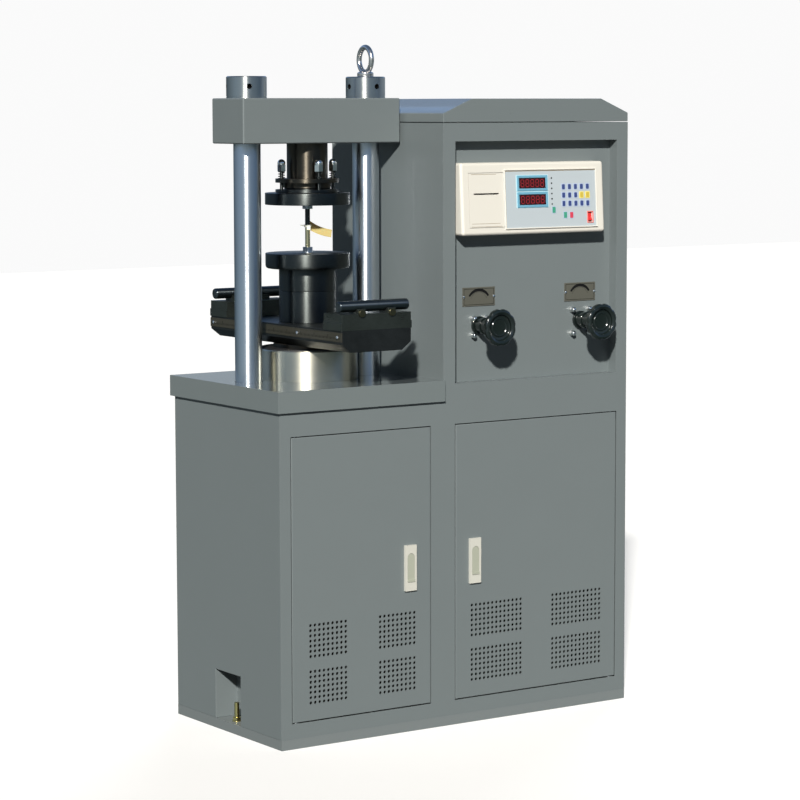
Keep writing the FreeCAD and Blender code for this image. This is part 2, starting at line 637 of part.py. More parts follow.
def door_lock(side):
    """Flush lock: plate and block, the lift lever in its recess, and the cam behind the door."""
    x = f"{side}_lock_x"
    plate = box(
        f"{side}_lock_plate", f"{x} - lock_plate_width / 2", "lock_face",
        "lock_centre_height - lock_plate_height / 2",
        "lock_plate_width", "lock_plate_proud", "lock_plate_height",
    )
    block = box(
        f"{side}_lock_block", f"{x} - lock_block_width / 2", "front",
        "lock_centre_height - lock_block_height / 2",
        "lock_block_width", "lock_block_depth", "lock_block_height",
    )
    recess = box(
        f"{side}_lock_recess", f"{x} - lever_width / 2 - lever_play", "lock_face - 1",
        "lever_base_z - lever_play", "lever_width + 2 * lever_play", "lock_recess + 1",
        "lever_length - lever_width / 2 + lever_play",
    )
    arch = rod(
        f"{side}_lock_arch", x, "lock_face - 1", "lever_base_z + lever_length - lever_width / 2",
        "lever_width / 2 + lever_play", "lock_recess + 1", "y",
    )
    socket = rod(
        f"{side}_cam_socket", x, "front + lock_block_depth - cam_shaft_socket", "lock_centre_height",
        "cam_shaft_radius + lock_running", "cam_shaft_socket + 1", "y",
    )
    pivot = rod(
        f"{side}_lever_pin", f"{x} - lever_width / 2 - 1", "lock_face + lever_thickness / 2",
        "lever_pin_z", "lever_pin_radius", "lever_width + 2", "x",
    )
    body = cut(f"{side}_lock_shell", join(f"{side}_lock_solid", plate, block), recess, arch, socket)
    keep(join(f"{side}_lock_body", body, pivot))

    blade = box(
        f"{side}_lever_blade", f"{x} - lever_width / 2", "lock_face", "lever_base_z",
        "lever_width", "lever_thickness", "lever_length - lever_width / 2",
    )
    top = rod(
        f"{side}_lever_top", x, "lock_face", "lever_base_z + lever_length - lever_width / 2",
        "lever_width / 2", "lever_thickness", "y",
    )
    lip = box(
        f"{side}_lever_lip", f"{x} - lever_width / 2", "lock_face - lever_lip_proud", "lever_base_z",
        "lever_width", "lever_lip_proud + 1", "lever_lip_height",
    )
    bore = rod(
        f"{side}_lever_bore", f"{x} - lever_width", "lock_face + lever_thickness / 2", "lever_pin_z",
        "lever_pin_radius + lock_running", "2 * lever_width", "x",
    )
    keep(cut(f"{side}_lock_lever", join(f"{side}_lever_solid", blade, top, lip), bore))

    inside = "cam_shaft_socket - cam_shaft_play"
    shaft = rod(
        f"{side}_cam_shaft", x, f"front + lock_block_depth - ({inside})",
        "lock_centre_height", "cam_shaft_radius",
        f"door_depth + cam_gap + cam_thickness - lock_block_depth + {inside}", "y",
    )
    arm = box(
        f"{side}_cam_arm", f"{x} - cam_width / 2", "front + door_depth + cam_gap",
        "lock_centre_height - cam_reach", "cam_width", "cam_thickness", "cam_reach + cam_tail",
    )
    keep(join(f"{side}_lock_cam", shaft, arm))


def load_frame():
    """Base beam on its legs, the two columns, the crosshead and the column nuts."""
    legs = []
    for side, sign in (("left", "-"), ("right", "+")):
        near = f"{sign}leg_offset"
        far = f"{sign}(leg_offset + leg_flange)"
        web = f"{sign}(leg_offset + leg_web)"
        points = [
            (near, "-leg_depth / 2"), (far, "-leg_depth / 2"), (far, "-leg_depth / 2 + leg_web"),
            (web, "-leg_depth / 2 + leg_web"), (web, "leg_depth / 2 - leg_web"),
            (far, "leg_depth / 2 - leg_web"), (far, "leg_depth / 2"), (near, "leg_depth / 2"),
        ]
        legs.append(prism(
            f"{side}_leg", "XY_Plane", points, "beam_bottom - plinth_height",
            x="load_x", z="plinth_height",
        ))
    keep(group("frame_legs", *legs))

    beam = box(
        "base_beam_blank", "load_x - base_beam_width / 2", "-base_beam_depth / 2", "beam_bottom",
        "base_beam_width", "base_beam_depth", "beam_top - beam_bottom",
    )
    bores = [
        rod(
            f"base_bore_{side}", f"load_x {sign} column_pitch / 2", 0, "beam_bottom - 1",
            "spigot_radius + thread_gap", "beam_top - beam_bottom + 2",
        )
        for side, sign in (("left", "-"), ("right", "+"))
    ]
    keep(cut("base_beam", beam, *bores))

    shaft = [
        (0, "beam_bottom - lower_nut_height - 4"),
        ("spigot_radius", "beam_bottom - lower_nut_height - 4"), ("spigot_radius", "beam_top"),
        ("column_radius", "beam_top"), ("column_radius", "crosshead_bottom"),
        ("spigot_radius", "crosshead_bottom"), ("spigot_radius", "crosshead_top + nut_height"),
        (0, "crosshead_top + nut_height"),
    ]
    left_column = lathe("left_column", shaft, "load_x - column_pitch / 2", 0, 0)
    right_blank = lathe("right_column_blank", shaft, "load_x + column_pitch / 2", 0, 0)
    eye_bore = rod(
        "eye_bore", "load_x + column_pitch / 2", 0, "crosshead_top + nut_height - eye_shank - 2",
        "eye_shank_radius + thread_gap", "eye_shank + 3",
    )
    keep(group("columns", left_column, cut("right_column", right_blank, eye_bore)))


def crosshead():
    half = "crosshead_width / 2"
    deep = "crosshead_depth / 2"
    points = [(f"-{half}", f"-{deep}"), (half, f"-{deep}"), (half, deep), (f"-{half}", deep)]
    block = prism(
        "crosshead_block", "XY_Plane", points, "crosshead_height", x="load_x", z="crosshead_bottom",
    )
    doc.recompute()
    pad = block.Tip
    bevel = block.newObject("PartDesign::Chamfer", "crosshead_bevel")
    bevel.Base = (pad, [f"Edge{index + 1}" for index in range(len(pad.Shape.Edges))])
    bind(bevel, Size="edge_bevel")
    block.Tip = bevel
    bores = [
        rod(
            f"crosshead_bore_{side}", f"load_x {sign} column_pitch / 2", 0, "crosshead_bottom - 1",
            "spigot_radius + thread_gap", "crosshead_height + 2",
        )
        for side, sign in (("left", "-"), ("right", "+"))
    ]
    bores.append(rod(
        "crosshead_stem_bore", "load_x", 0, "crosshead_bottom - 1",
        "spacer_spigot_radius + spigot_gap", "stem_spigot + 2",
    ))
    keep(cut("crosshead", block, *bores))


def column_nut(name, side, z, height, turn):
    """Round nut with four spanner holes in its rim."""
    x = f"load_x {'-' if side == 'left' else '+'} column_pitch / 2"
    points = [
        ("spigot_radius + thread_gap", 0), ("nut_radius", 0), ("nut_radius", "nut_groove_up"),
        ("nut_radius - nut_groove_depth", "nut_groove_up"),
        ("nut_radius - nut_groove_depth", "nut_groove_up + nut_groove_width"),
        ("nut_radius", "nut_groove_up + nut_groove_width"),
        ("nut_radius", f"{height} - nut_bevel"), ("nut_radius - nut_bevel", height),
        ("spigot_radius + thread_gap", height),
    ]
    ring = lathe(f"{name}_ring", points, x, 0, z)
    holes = []
    for quarter in range(4):
        hole = add("Part::Cylinder", f"{name}_hole_{quarter}")
        bind(hole, Radius="spanner_hole_radius", Height="spanner_hole_depth + 2")
        angle = f"({turn} + {90 * quarter})"
        place(
            hole, f"{x} + (nut_radius - spanner_hole_depth) * cos({angle})",
            f"(nut_radius - spanner_hole_depth) * sin({angle})", f"{z} + {height} - spanner_hole_drop",
            FreeCAD.Rotation(Vector(0, 0, 1), SIZES[turn] + 90 * quarter).multiply(ALONG["x"]),
        )
        holes.append(hole)
    return cut(name, ring, *holes)


def column_nuts():
    nuts = []
    for side in ("left", "right"):
        turn = f"{side}_nut_turn"
        nuts.append(column_nut(f"{side}_top_nut", side, "crosshead_top", "nut_height", turn))
        low = "beam_bottom - lower_nut_height"
        nuts.append(column_nut(f"{side}_low_nut", side, low, "lower_nut_height", turn))
    keep(group("column_nuts", *nuts))


def lifting_eye():
    x = "load_x + column_pitch / 2"
    z = "crosshead_top + nut_height"
    points = [
        (0, "-eye_shank"), ("eye_shank_radius", "-eye_shank"), ("eye_shank_radius", 0),
        ("eye_collar_radius", 0), ("eye_collar_radius", "eye_collar_edge"),
        ("eye_collar_top", "eye_collar_height"), (0, "eye_collar_height"),
    ]
    collar = lathe("eye_collar", points, x, 0, z)
    ring = add("Part::Torus", "eye_ring")
    bind(ring, Radius1="eye_ring_radius", Radius2="eye_section_radius")
    upright = FreeCAD.Rotation(Vector(0, 0, 1), SIZES["eye_turn"]).multiply(ALONG["y"])
    place(ring, x, 0, f"{z} + eye_centre", upright)
    keep(join("lifting_eye", collar, ring))


def hydraulic_ram():
    cup = [
        (0, 0), ("cylinder_radius", 0), ("cylinder_radius", "cylinder_top - beam_top - 2"),
        ("cylinder_radius - 2", "cylinder_top - beam_top"), ("ram_radius", "cylinder_top - beam_top"),
        ("ram_radius", "cylinder_floor"), (0, "cylinder_floor"),
    ]
    barrel = lathe("cylinder_barrel", cup, "load_x", 0, "beam_top")
    boss = rod(
        "cylinder_boss", "load_x", "cylinder_radius - 4", "port_z", "port_boss_radius",
        "port_boss + 2", "y",
    )
    passage = rod(
        "cylinder_passage", "load_x", "cylinder_radius / 2", "port_z", "pipe_radius",
        "cylinder_radius / 2 + port_boss + 1", "y",
    )
    riser = rod(
        "cylinder_riser", "load_x", "cylinder_radius / 2 + 2 * pipe_radius", "port_z", "riser_radius",
        "cylinder_floor - port_height + 1",
    )
    keep(cut("cylinder", join("cylinder_solid", barrel, boss), passage, riser))
    ram = [
        (0, "beam_top + cylinder_floor"), ("ram_radius - 3", "beam_top + cylinder_floor"),
        ("ram_radius - ram_running", "beam_top + cylinder_floor + 3"),
        ("ram_radius - ram_running", "bend_bottom"), ("ram_spigot_radius", "bend_bottom"),
        ("ram_spigot_radius", "bend_bottom + ram_spigot"), (0, "bend_bottom + ram_spigot"),
    ]
    keep(lathe("piston", ram, "load_x", 0, 0))


def bending_beam():
    half = "bend_width / 2"
    points = [
        (f"-{half} + bend_bevel_wide", 0), (f"{half} - bend_bevel_wide", 0),
        (half, "bend_bevel_high"), (half, "bend_height"), (f"-{half}", "bend_height"),
        (f"-{half}", "bend_bevel_high"),
    ]
    bar = prism(
        "bending_bar", "XZ_Plane", points, "bend_length",
        x="load_x", y="-bend_length / 2", z="bend_bottom",
    )
    ram_seat = rod(
        "beam_ram_seat", "load_x", 0, "bend_bottom - 1", "ram_spigot_radius + spigot_gap",
        "ram_spigot + 1 + spigot_gap",
    )
    spacer_seat = rod(
        "beam_spacer_seat", "load_x", 0, "bend_top - spacer_spigot - spigot_gap",
        "spacer_spigot_radius + spigot_gap", "spacer_spigot + 1",
    )
    keep(cut("bending_beam", bar, ram_seat, spacer_seat))

    face = "load_x - bend_width / 2 - strip_thickness"
    pieces = [box(
        "strip_plate", face, "-bend_length / 2", "strip_low",
        "strip_thickness", "bend_length", "strip_height",
    )]
    for name, y in (
        ("front", "-strip_rivet_far"), ("middle_front", "-strip_rivet_near"),
        ("middle_back", "strip_rivet_near"), ("back", "strip_rivet_far"),
    ):
        pieces.append(rod(
            f"strip_rivet_{name}", f"{face} - strip_rivet_head", y, "strip_low + strip_height / 2",
            "strip_rivet_radius", "strip_rivet_head + strip_thickness / 2", "x",
        ))
    keep(join("scale_strip", *pieces))


def cradle(end):
    """Stepped block with two saddles that carry a bending roller, and its two screws."""
    front_end = end == "front"
    y = "-bend_length / 2" if front_end else "bend_length / 2 - cradle_length"
    face = "-bend_length / 2" if front_end else "bend_length / 2"
    inward = "y" if front_end else "-y"
    outward = "-y" if front_end else "y"
    axis_y = f"{face} + roller_inset" if front_end else f"{face} - roller_inset"
    screw_z = "saddle_z + cradle_screw_up"
    solids = [
        box(
            f"{end}_cradle_base", "load_x - cradle_width / 2", y, "bend_top",
            "cradle_width", "cradle_length", "cradle_base",
        ),
        box(
            f"{end}_cradle_upper", "load_x - cradle_upper_width / 2", y, "bend_top + cradle_base",
            "cradle_upper_width", "cradle_length", "cradle_upper",
        ),
    ]
    tools = [rod(
        f"{end}_cradle_groove", "load_x - cradle_width / 2", axis_y, "roller_z",
        "roller_radius + roller_running", "cradle_width", "x",
    )]
    screws = []
    for side, sign in (("left", "-"), ("right", "+")):
        x = f"load_x {sign} saddle_spread"
        solids.append(box(
            f"{end}_{side}_saddle", f"{x} - saddle_width / 2", f"{axis_y} - roller_inset", "saddle_z",
            "saddle_width", "2 * roller_inset", "saddle_height",
        ))
        tools.append(rod(
            f"{end}_{side}_screw_hole", x, face, screw_z,
            "cradle_screw_shank_radius + thread_gap", "cradle_screw_shank + 1", inward,
        ))
        screws.append(join(
            f"{end}_{side}_screw",
            rod(
                f"{end}_{side}_screw_head", x, face, screw_z,
                "cradle_screw_radius", "cradle_screw_head", outward,
            ),
            rod(
                f"{end}_{side}_screw_shank", x, face, screw_z,
                "cradle_screw_shank_radius", "cradle_screw_shank", inward,
            ),
        ))
    block = cut(f"{end}_cradle_block", join(f"{end}_cradle_solid", *solids), *tools)
    keep(group(f"{end}_cradle", block, *screws))
    keep(disc(
        f"{end}_roller", "roller_radius", "roller_length", "roller_round",
        "load_x - roller_length / 2", axis_y, "roller_z", "x",
    ))


def spacer(name, height, z):
    points = [
        (0, "-spacer_spigot"), ("spacer_spigot_radius", "-spacer_spigot"), ("spacer_spigot_radius", 0),
        ("spacer_radius - spacer_bevel", 0), ("spacer_radius", "spacer_bevel"),
        ("spacer_radius", f"{height} - spacer_bevel"), ("spacer_radius - spacer_bevel", height),
        ("spacer_spigot_radius + spigot_gap", height),
        ("spacer_spigot_radius + spigot_gap", f"{height} - spacer_spigot - spigot_gap"),
        (0, f"{height} - spacer_spigot - spigot_gap"),
    ]
    return lathe(name, points, "load_x", 0, z)


def lower_platen():
    keep(group(
        "spacers", spacer("lower_spacer", "lower_spacer_height", "bend_top"),
        spacer("upper_spacer", "upper_spacer_height", "bend_top + lower_spacer_height"),
    ))
    radius = "platen_radius"
    round_off = "lower_platen_round"
    points = [
        (0, "-spacer_spigot"), ("spacer_spigot_radius", "-spacer_spigot"), ("spacer_spigot_radius", 0),
        (f"{radius} - {round_off}", 0), (f"{radius} - {round_off} * 0.3", f"{round_off} * 0.3"),
        (radius, round_off), (radius, "lower_platen_height - 1"),
        (f"{radius} - 1", "lower_platen_height"), ("transit_radius + thread_gap", "lower_platen_height"),
        ("transit_radius + thread_gap", "lower_platen_height - transit_socket"),
        (0, "lower_platen_height - transit_socket"),
    ]
    keep(lathe("lower_platen", points, "load_x", 0, "lower_platen_z"))


def transit_stud():
    shaft = rod(
        "transit_rod", "load_x", 0, "lower_face - transit_socket", "transit_radius",
        "transit_socket + test_gap + transit_reach",
    )
    washer = rod(
        "transit_washer", "load_x", 0, "lower_face", "transit_washer_radius", "transit_washer_height",
    )
    foot = hexagon(
        "transit_foot", "load_x", 0, "lower_face + transit_washer_height",
        "transit_foot_flats", "transit_foot_height",
    )
    bore = rod(
        "transit_foot_bore", "load_x", 0, "lower_face - 1", "transit_radius + thread_gap",
        "transit_foot_height + transit_washer_height + 2",
    )
    nut = cut("transit_foot_nut", join("transit_foot_solid", washer, foot), bore)
    keep(group("transit_stud", shaft, nut))
    top = hexagon(
        "transit_top_blank", "load_x", 0, "ball_z - transit_top_height",
        "transit_top_flats", "transit_top_height",
    )
    top_bore = rod(
        "transit_top_bore", "load_x", 0, "ball_z - transit_top_height - 1",
        "transit_radius + transit_top_play", "transit_top_height + 2",
    )
    keep(cut("transit_top_nut", top, top_bore))


def turned_box(name, across, out, z, width, depth, height):
    """Box beside the transit stud, turned about the stud towards the front left."""
    thing = add("Part::Box", name)
    bind(thing, Length=width, Width=depth, Height=height)
    return place(
        thing, f"load_x + ({across}) * cos(tie_turn) - ({out}) * sin(tie_turn)",
        f"-(({across}) * sin(tie_turn) + ({out}) * cos(tie_turn))", z,
        FreeCAD.Rotation(Vector(0, 0, 1), -SIZES["tie_turn"]),
    )


def strap_sector(name, radius, height, margin):
    """Sector of a disc that stands behind the transit stud, curved like the strap."""
    thing = add("Part::Cylinder", name)
    bind(
        thing, Radius=radius, Height=f"strap_thickness + 2 * {height}",
        Angle=f"strap_angle + 2 * {margin}",
    )
    behind = f"(transit_radius + strap_gap - {height})"
    upright = FreeCAD.Rotation(Vector(0, 0, 1), -SIZES["tie_turn"]).multiply(ALONG["y"])
    return place(
        thing, f"load_x + strap_centre_across * cos(tie_turn) + {behind} * sin(tie_turn)",
        f"-strap_centre_across * sin(tie_turn) + {behind} * cos(tie_turn)",
        "rod_middle + strap_centre_up",
        upright.multiply(FreeCAD.Rotation(Vector(0, 0, 1), SIZES["strap_start"] - margin)),
    )


def tie_and_strap():
    """Nylon tie round the transit stud and the soft strap that it holds against the stud."""
    outer = strap_sector("strap_outer", "strap_bend_radius + strap_width / 2", 0, 0)
    inner = strap_sector("strap_inner", "strap_bend_radius - strap_width / 2", 1, 5)
    strap = keep(cut("tag_strap", outer, inner))

    z = "rod_middle + tie_above_middle"
    band = rod("tie_outer", "load_x", 0, z, "transit_radius + tie_band", "tie_band_height")
    head = turned_box(
        "tie_head_block", "-tie_head_left", "transit_radius + tie_head_depth",
        f"{z} + tie_band_height - tie_head_height", "tie_head", "tie_head_depth + 1", "tie_head_height",
    )
    tail = turned_box(
        "tie_tail_strip", "-tie_head_left - tie_tail", "transit_radius + tie_head_depth / 2",
        f"{z} + tie_band_height - tie_tail_height", "tie_tail + 1", "tie_tail_thickness",
        "tie_tail_height",
    )
    bore = rod("tie_bore", "load_x", 0, f"{z} - tie_head_height", "transit_radius", "2 * tie_head_height")
    keep(cut("cable_tie", join("tie_solid", band, head, tail), bore, strap))


def seat_stud_places():
    for quarter in range(4):
        angle = f"seat_stud_turn + {90 * quarter}"
        yield quarter, f"load_x + seat_stud_circle * cos({angle})", f"seat_stud_circle * sin({angle})"


def spherical_seat():
    """Upper platen with a convex back, hung by sprung studs in a concave seat."""
    stem = [
        (0, "seat_boss_low"), ("seat_boss_radius", "seat_boss_low"),
        ("seat_boss_radius", "flange_low"), ("ring_radius", "flange_low"),
        ("ring_radius", "flange_low + flange_height"), ("stem_radius", "flange_low + flange_height"),
        ("stem_radius", "seat_height"),
        ("spacer_spigot_radius", "seat_height"),
        ("spacer_spigot_radius", "seat_height + stem_spigot"),
        (0, "seat_height + stem_spigot"),
    ]
    blank = lathe("seat_blank", stem, "load_x", 0, "ball_z")
    tools = [
        ball("seat_socket", "load_x", 0, "ball_z", "ball_height + seat_gap"),
        rod(
            "seat_bore", "load_x", 0, "ball_z + ball_height - 4", "stem_bore_radius", "stem_bore + 4",
        ),
    ]
    for quarter, x, y in seat_stud_places():
        tools.append(rod(
            f"flange_hole_{quarter}", x, y, "flange_z - 1", "seat_stud_radius + seat_stud_play",
            "flange_height + 2",
        ))
    keep(cut("ball_seat", blank, *tools))

    plate = disc(
        "upper_plate", "platen_radius", "upper_platen_height", "upper_platen_bevel",
        "load_x", 0, "ball_z",
    )
    dome = common(
        "platen_dome", ball("platen_ball", "load_x", 0, "ball_z", "ball_height"),
        rod("platen_neck", "load_x", 0, "ring_z - 2", "ball_neck_radius", "ball_height"),
    )
    bore = rod(
        "platen_bore", "load_x", 0, "ball_z - 1", "platen_bore_radius", "ball_height + 2",
    )
    keep(cut("upper_platen", join("platen_solid", plate, dome), bore))

    ring = [
        ("ball_neck_radius + 1", 0), ("ring_radius - ring_relief", 0),
        ("ring_radius - ring_relief", "ring_relief_height"), ("ring_radius", "ring_relief_height"),
        ("ring_radius", "ring_height"), ("ball_neck_radius + 1", "ring_height"),
    ]
    ring_blank = lathe("ring_blank", ring, "load_x", 0, "ring_z")
    ring_holes = []
    studs = []
    springs = []
    for quarter, x, y in seat_stud_places():
        ring_holes.append(rod(
            f"ring_hole_{quarter}", x, y, "ring_z - 1", "seat_stud_radius + thread_gap",
            "ring_height + 2",
        ))
        studs.append(rod(
            f"seat_stud_{quarter}", x, y, "ring_z", "seat_stud_radius",
            "seat_nut_z - ring_z + seat_nut_height - 1",
        ))
        hexa = hexagon(f"seat_hex_{quarter}", x, y, "seat_nut_z", "seat_nut_flats", "seat_nut_height")
        crown = ball(
            f"seat_crown_{quarter}", x, y, "seat_nut_z + seat_nut_height + acorn_centre", "acorn_dome",
        )
        well = rod(
            f"seat_well_{quarter}", x, y, "seat_nut_z - 1", "seat_stud_radius + thread_gap",
            "seat_nut_height + 1",
        )
        studs.append(cut(f"seat_nut_{quarter}", join(f"seat_nut_solid_{quarter}", hexa, crown), well))
        springs.append(cut(
            f"seat_spring_{quarter}",
            rod(
                f"spring_outer_{quarter}", x, y, "spring_z", "seat_spring_radius",
                "seat_spring_height",
            ),
            rod(
                f"spring_inner_{quarter}", x, y, "spring_z - 1", "seat_spring_hollow",
                "seat_spring_height + 2",
            ),
        ))
    keep(cut("retaining_ring", ring_blank, *ring_holes))
    keep(group("seat_studs", *studs))
    keep(group("seat_springs", *springs))


def on_face(up, out):
    """Y and Z of a point a height up the sloping controller face and a distance out of it."""
    return f"low_face + ({up}) * face_lean - ({out})", f"controller_bottom + {up}"


def face_slab(name, x, width, low, high, out, back_off):
    """Slab that follows the slope of the controller face."""
    points = [
        on_face(low, out), on_face(high, out), on_face(high, back_off), on_face(low, back_off),
    ]
    return prism(name, "YZ_Plane", points, width, x=x)


def controller():
    points = [
        ("panel_y", "controller_bottom"), ("low_face", "controller_bottom"),
        ("high_face", "controller_top"), ("panel_y", "controller_top"),
    ]
    case = prism("controller_block", "YZ_Plane", points, "controller_width", x="controller_x")
    doc.recompute()
    pad = case.Tip
    rounding = case.newObject("PartDesign::Fillet", "controller_rounding")
    limit = SIZES["recess_depth"] - SIZES["cabinet_depth"] / 2 - 1
    picked = []
    for index, edge in enumerate(pad.Shape.Edges, start=1):
        if min(vertex.Point.y for vertex in edge.Vertexes) < limit:
            picked.append(f"Edge{index}")
    rounding.Base = (pad, picked)
    bind(rounding, Radius="controller_round")
    case.Tip = rounding

    cover_x = "controller_x + cover_inset"
    window = face_slab(
        "cover_window", f"{cover_x} - cover_play", "cover_width + 2 * cover_play",
        "cover_low - cover_play", "cover_low + cover_height + cover_play", "20",
        "-cover_thickness - cover_play",
    )
    bay = face_slab(
        "printer_bay", f"{cover_x} + bay_margin", "cover_width - 2 * bay_margin",
        "cover_low + bay_margin", "cover_low + cover_height - bay_margin", "0", "-bay_depth",
    )
    hinge_up = "cover_low + cover_thickness / 2"
    hinge_y, hinge_z = on_face(hinge_up, "-cover_thickness / 2")
    cover_bore = rod(
        "cover_bore", f"{cover_x} - cover_pin - cover_pin_play", hinge_y, hinge_z,
        "cover_pin_radius + hinge_running", "cover_width + 2 * (cover_pin + cover_pin_play)", "x",
    )
    well = face_slab(
        "switch_well", "switch_x - switch_width / 2 - switch_play",
        "switch_width + 2 * switch_play", "switch_low - switch_well_half",
        "switch_low + switch_well_half", "20", "-switch_well_depth",
    )
    pin_y, pin_z = on_face("switch_low", "-switch_depth")
    switch_bore = rod(
        "switch_bore", "switch_x - switch_width / 2 - switch_pin - switch_pin_play",
        pin_y, pin_z, "switch_pin_radius + hinge_running",
        "switch_width + 2 * (switch_pin + switch_pin_play)", "x",
    )
    keep(cut("controller_case", case, window, bay, cover_bore, well, switch_bore))

    slab = face_slab(
        "cover_slab", cover_x, "cover_width", "cover_low", "cover_low + cover_height", "0",
        "-cover_thickness",
    )
    slot = face_slab(
        "cover_slot", f"{cover_x} + (cover_width - cover_slot_width) / 2", "cover_slot_width",
        "cover_low + cover_height - cover_slot_drop - cover_slot_height",
        "cover_low + cover_height - cover_slot_drop", "5", "-cover_thickness - 5",
    )
    pins = rod(
        "cover_pins", f"{cover_x} - cover_pin", hinge_y, hinge_z, "cover_pin_radius",
        "cover_width + 2 * cover_pin", "x",
    )
    keep(cut("printer_cover", join("cover_solid", slab, pins), slot))


def membrane_and_switch():
    foil = face_slab(
        "membrane_foil", "controller_x + membrane_inset", "membrane_width", "membrane_low",
        "membrane_low + membrane_height", "membrane_thickness", "0",
    )
    window = face_slab(
        "membrane_window", "switch_x - switch_width / 2 - switch_play",
        "switch_width + 2 * switch_play", "switch_low - switch_well_half",
        "switch_low + switch_well_half", "5", "-5",
    )
    keep(cut("membrane_panel", foil, window))

    corners = [
        ("switch_half", "switch_tip"), (0, "switch_valley"), ("-switch_half", "switch_tip"),
        ("-switch_foot_half", "-switch_foot_depth"), ("switch_foot_half", "-switch_foot_depth"),
    ]
    points = []
    for up, out in corners:
        y = f"-(({out}) * cos(switch_turn) - ({up}) * sin(switch_turn))"
        z = f"({up}) * cos(switch_turn) + ({out}) * sin(switch_turn)"
        points.append((y, z))
    pin_y, pin_z = on_face("switch_low", "-switch_depth")
    rocker = prism(
        "rocker_block", "YZ_Plane", points, "switch_width",
        x="switch_x - switch_width / 2", y=pin_y, z=pin_z,
    )
    pins = rod(
        "rocker_pins", "switch_x - switch_width / 2 - switch_pin",
        pin_y, pin_z, "switch_pin_radius", "switch_width + 2 * switch_pin", "x",
    )
    keep(join("power_switch", rocker, pins))


def dial_plates():
    plates = [
        box(
            f"{side}_dial_plate", f"{side}_valve_x - plate_width / 2", "panel_y - plate_thickness",
            "valve_height + plate_lift - plate_height / 2",
            "plate_width", "plate_thickness", "plate_height",
        )
        for side in ("left", "right")
    ]
    keep(group("dial_plates", *plates))


def valve_body(side):
    x = f"{side}_valve_x"
    block = box(
        f"{side}_valve_block", f"{x} - valve_block / 2", "block_y", "valve_height - valve_block / 2",
        "valve_block", "valve_block_depth", "valve_block",
    )
    neck = rod(
        f"{side}_valve_neck", x, "panel_y - valve_neck", "valve_height", "valve_neck_radius",
        "valve_neck + panel_sheet + 1", "y",
    )
    bore = rod(
        f"{side}_valve_bore", x, "panel_y - valve_neck - 1", "valve_height",
        "spindle_radius + spindle_running", "valve_neck + panel_sheet + spindle_inside + 2", "y",
    )
    tools = [bore]
    for name, stud_x, stud_z in stud_places(side):
        tools.append(rod(
            f"block_hole_{name}", stud_x, "block_y - 1", stud_z,
            "valve_stud_radius + thread_gap", "valve_stud_seat + valve_stud_end_gap", "y",
        ))
    return cut(f"{side}_valve_body", join(f"{side}_valve_solid", block, neck), *tools)


def valve_nut(name, x, z):
    """Stud out of the valve body with the acorn nut that clamps the panel."""
    stud = rod(
        f"valve_stud_{name}", x, "panel_y - 4", z, "valve_stud_radius",
        "4 + panel_sheet + valve_stud_seat", "y",
    )
    hexa = hexagon(
        f"valve_hex_{name}", x, "panel_y", z, "valve_nut_flats", "valve_nut_height", "-y",
    )
    neck = rod(
        f"valve_tip_{name}", x, "panel_y", z, "valve_nut_neck",
        "valve_stud_proud - valve_nut_dome", "-y",
    )
    crown = ball(
        f"valve_crown_{name}", x, "panel_y - valve_stud_proud + valve_nut_dome", z, "valve_nut_dome",
    )
    return join(f"valve_nut_{name}", stud, hexa, neck, crown)


def handwheel(side):
    """Spindle and lobed wheel: the wheel's rim is scalloped and its face is dished."""
    x = f"{side}_valve_x"
    spindle = [
        (0, 0), ("spindle_radius", 0), ("spindle_radius", "spindle_length - spindle_nose"),
        ("spindle_nose_radius", "spindle_length - spindle_nose"),
        ("spindle_nose_radius", "spindle_length"), (0, "spindle_length"),
    ]
    keep(lathe(f"{side}_spindle", spindle, x, "block_y + spindle_inside", "valve_height", "-y"))

    floor = "wheel_depth - wheel_dish"
    wheel = [
        ("spindle_nose_radius + spindle_running", "-wheel_hub_back"),
        ("wheel_hub_radius", "-wheel_hub_back"), ("wheel_hub_radius", "wheel_step"),
        ("wheel_radius - wheel_round", "wheel_step"), ("wheel_radius", "wheel_step + wheel_round"),
        ("wheel_radius", "wheel_depth - wheel_round"), ("wheel_radius - wheel_round", "wheel_depth"),
        ("wheel_radius - wheel_rim", "wheel_depth - 1"), ("wheel_radius - wheel_rim - 2", floor),
        (0, floor), (0, f"{floor} - wheel_web"),
        ("spindle_nose_radius + spindle_running", f"{floor} - wheel_web"),
    ]
    blank = lathe(f"{side}_wheel_blank", wheel, x, "panel_y - wheel_back", "valve_height", "-y")
    doc.recompute()
    groove = blank.newObject("PartDesign::Pocket", f"{side}_wheel_groove")
    sketch = blank.newObject("Sketcher::SketchObject", f"{side}_groove_outline")
    plane = next(feature for feature in blank.Origin.OriginFeatures if feature.Role == "XY_Plane")
    sketch.AttachmentSupport = [(plane, "")]
    sketch.MapMode = "FlatFace"
    sketch.addGeometry(Part.Circle(Vector(SIZES["lobe_cut_out"], 0, 0), Vector(0, 0, 1), 10))
    sketch.addConstraint(Sketcher.Constraint("PointOnObject", 0, 3, -1))
    reach = sketch.addConstraint(Sketcher.Constraint("DistanceX", -1, 1, 0, 3, SIZES["lobe_cut_out"]))
    sketch.setExpression(f"Constraints[{reach}]", formula("lobe_cut_out"))
    width = sketch.addConstraint(Sketcher.Constraint("Radius", 0, 10))
    sketch.setExpression(f"Constraints[{width}]", formula("lobe_cut_radius"))
    groove.Profile = sketch
    groove.Type = "ThroughAll"
    groove.Reversed = True
    doc.recompute()
    pattern = blank.newObject("PartDesign::PolarPattern", f"{side}_wheel_lobes")
    pattern.Originals = [groove]
    pattern.Axis = (sketch, ["N_Axis"])
    pattern.Angle = 360
    bind(pattern, Occurrences="wheel_lobes")
    blank.Tip = pattern
    blank.Label = f"{side}_handwheel"
    keep(blank)


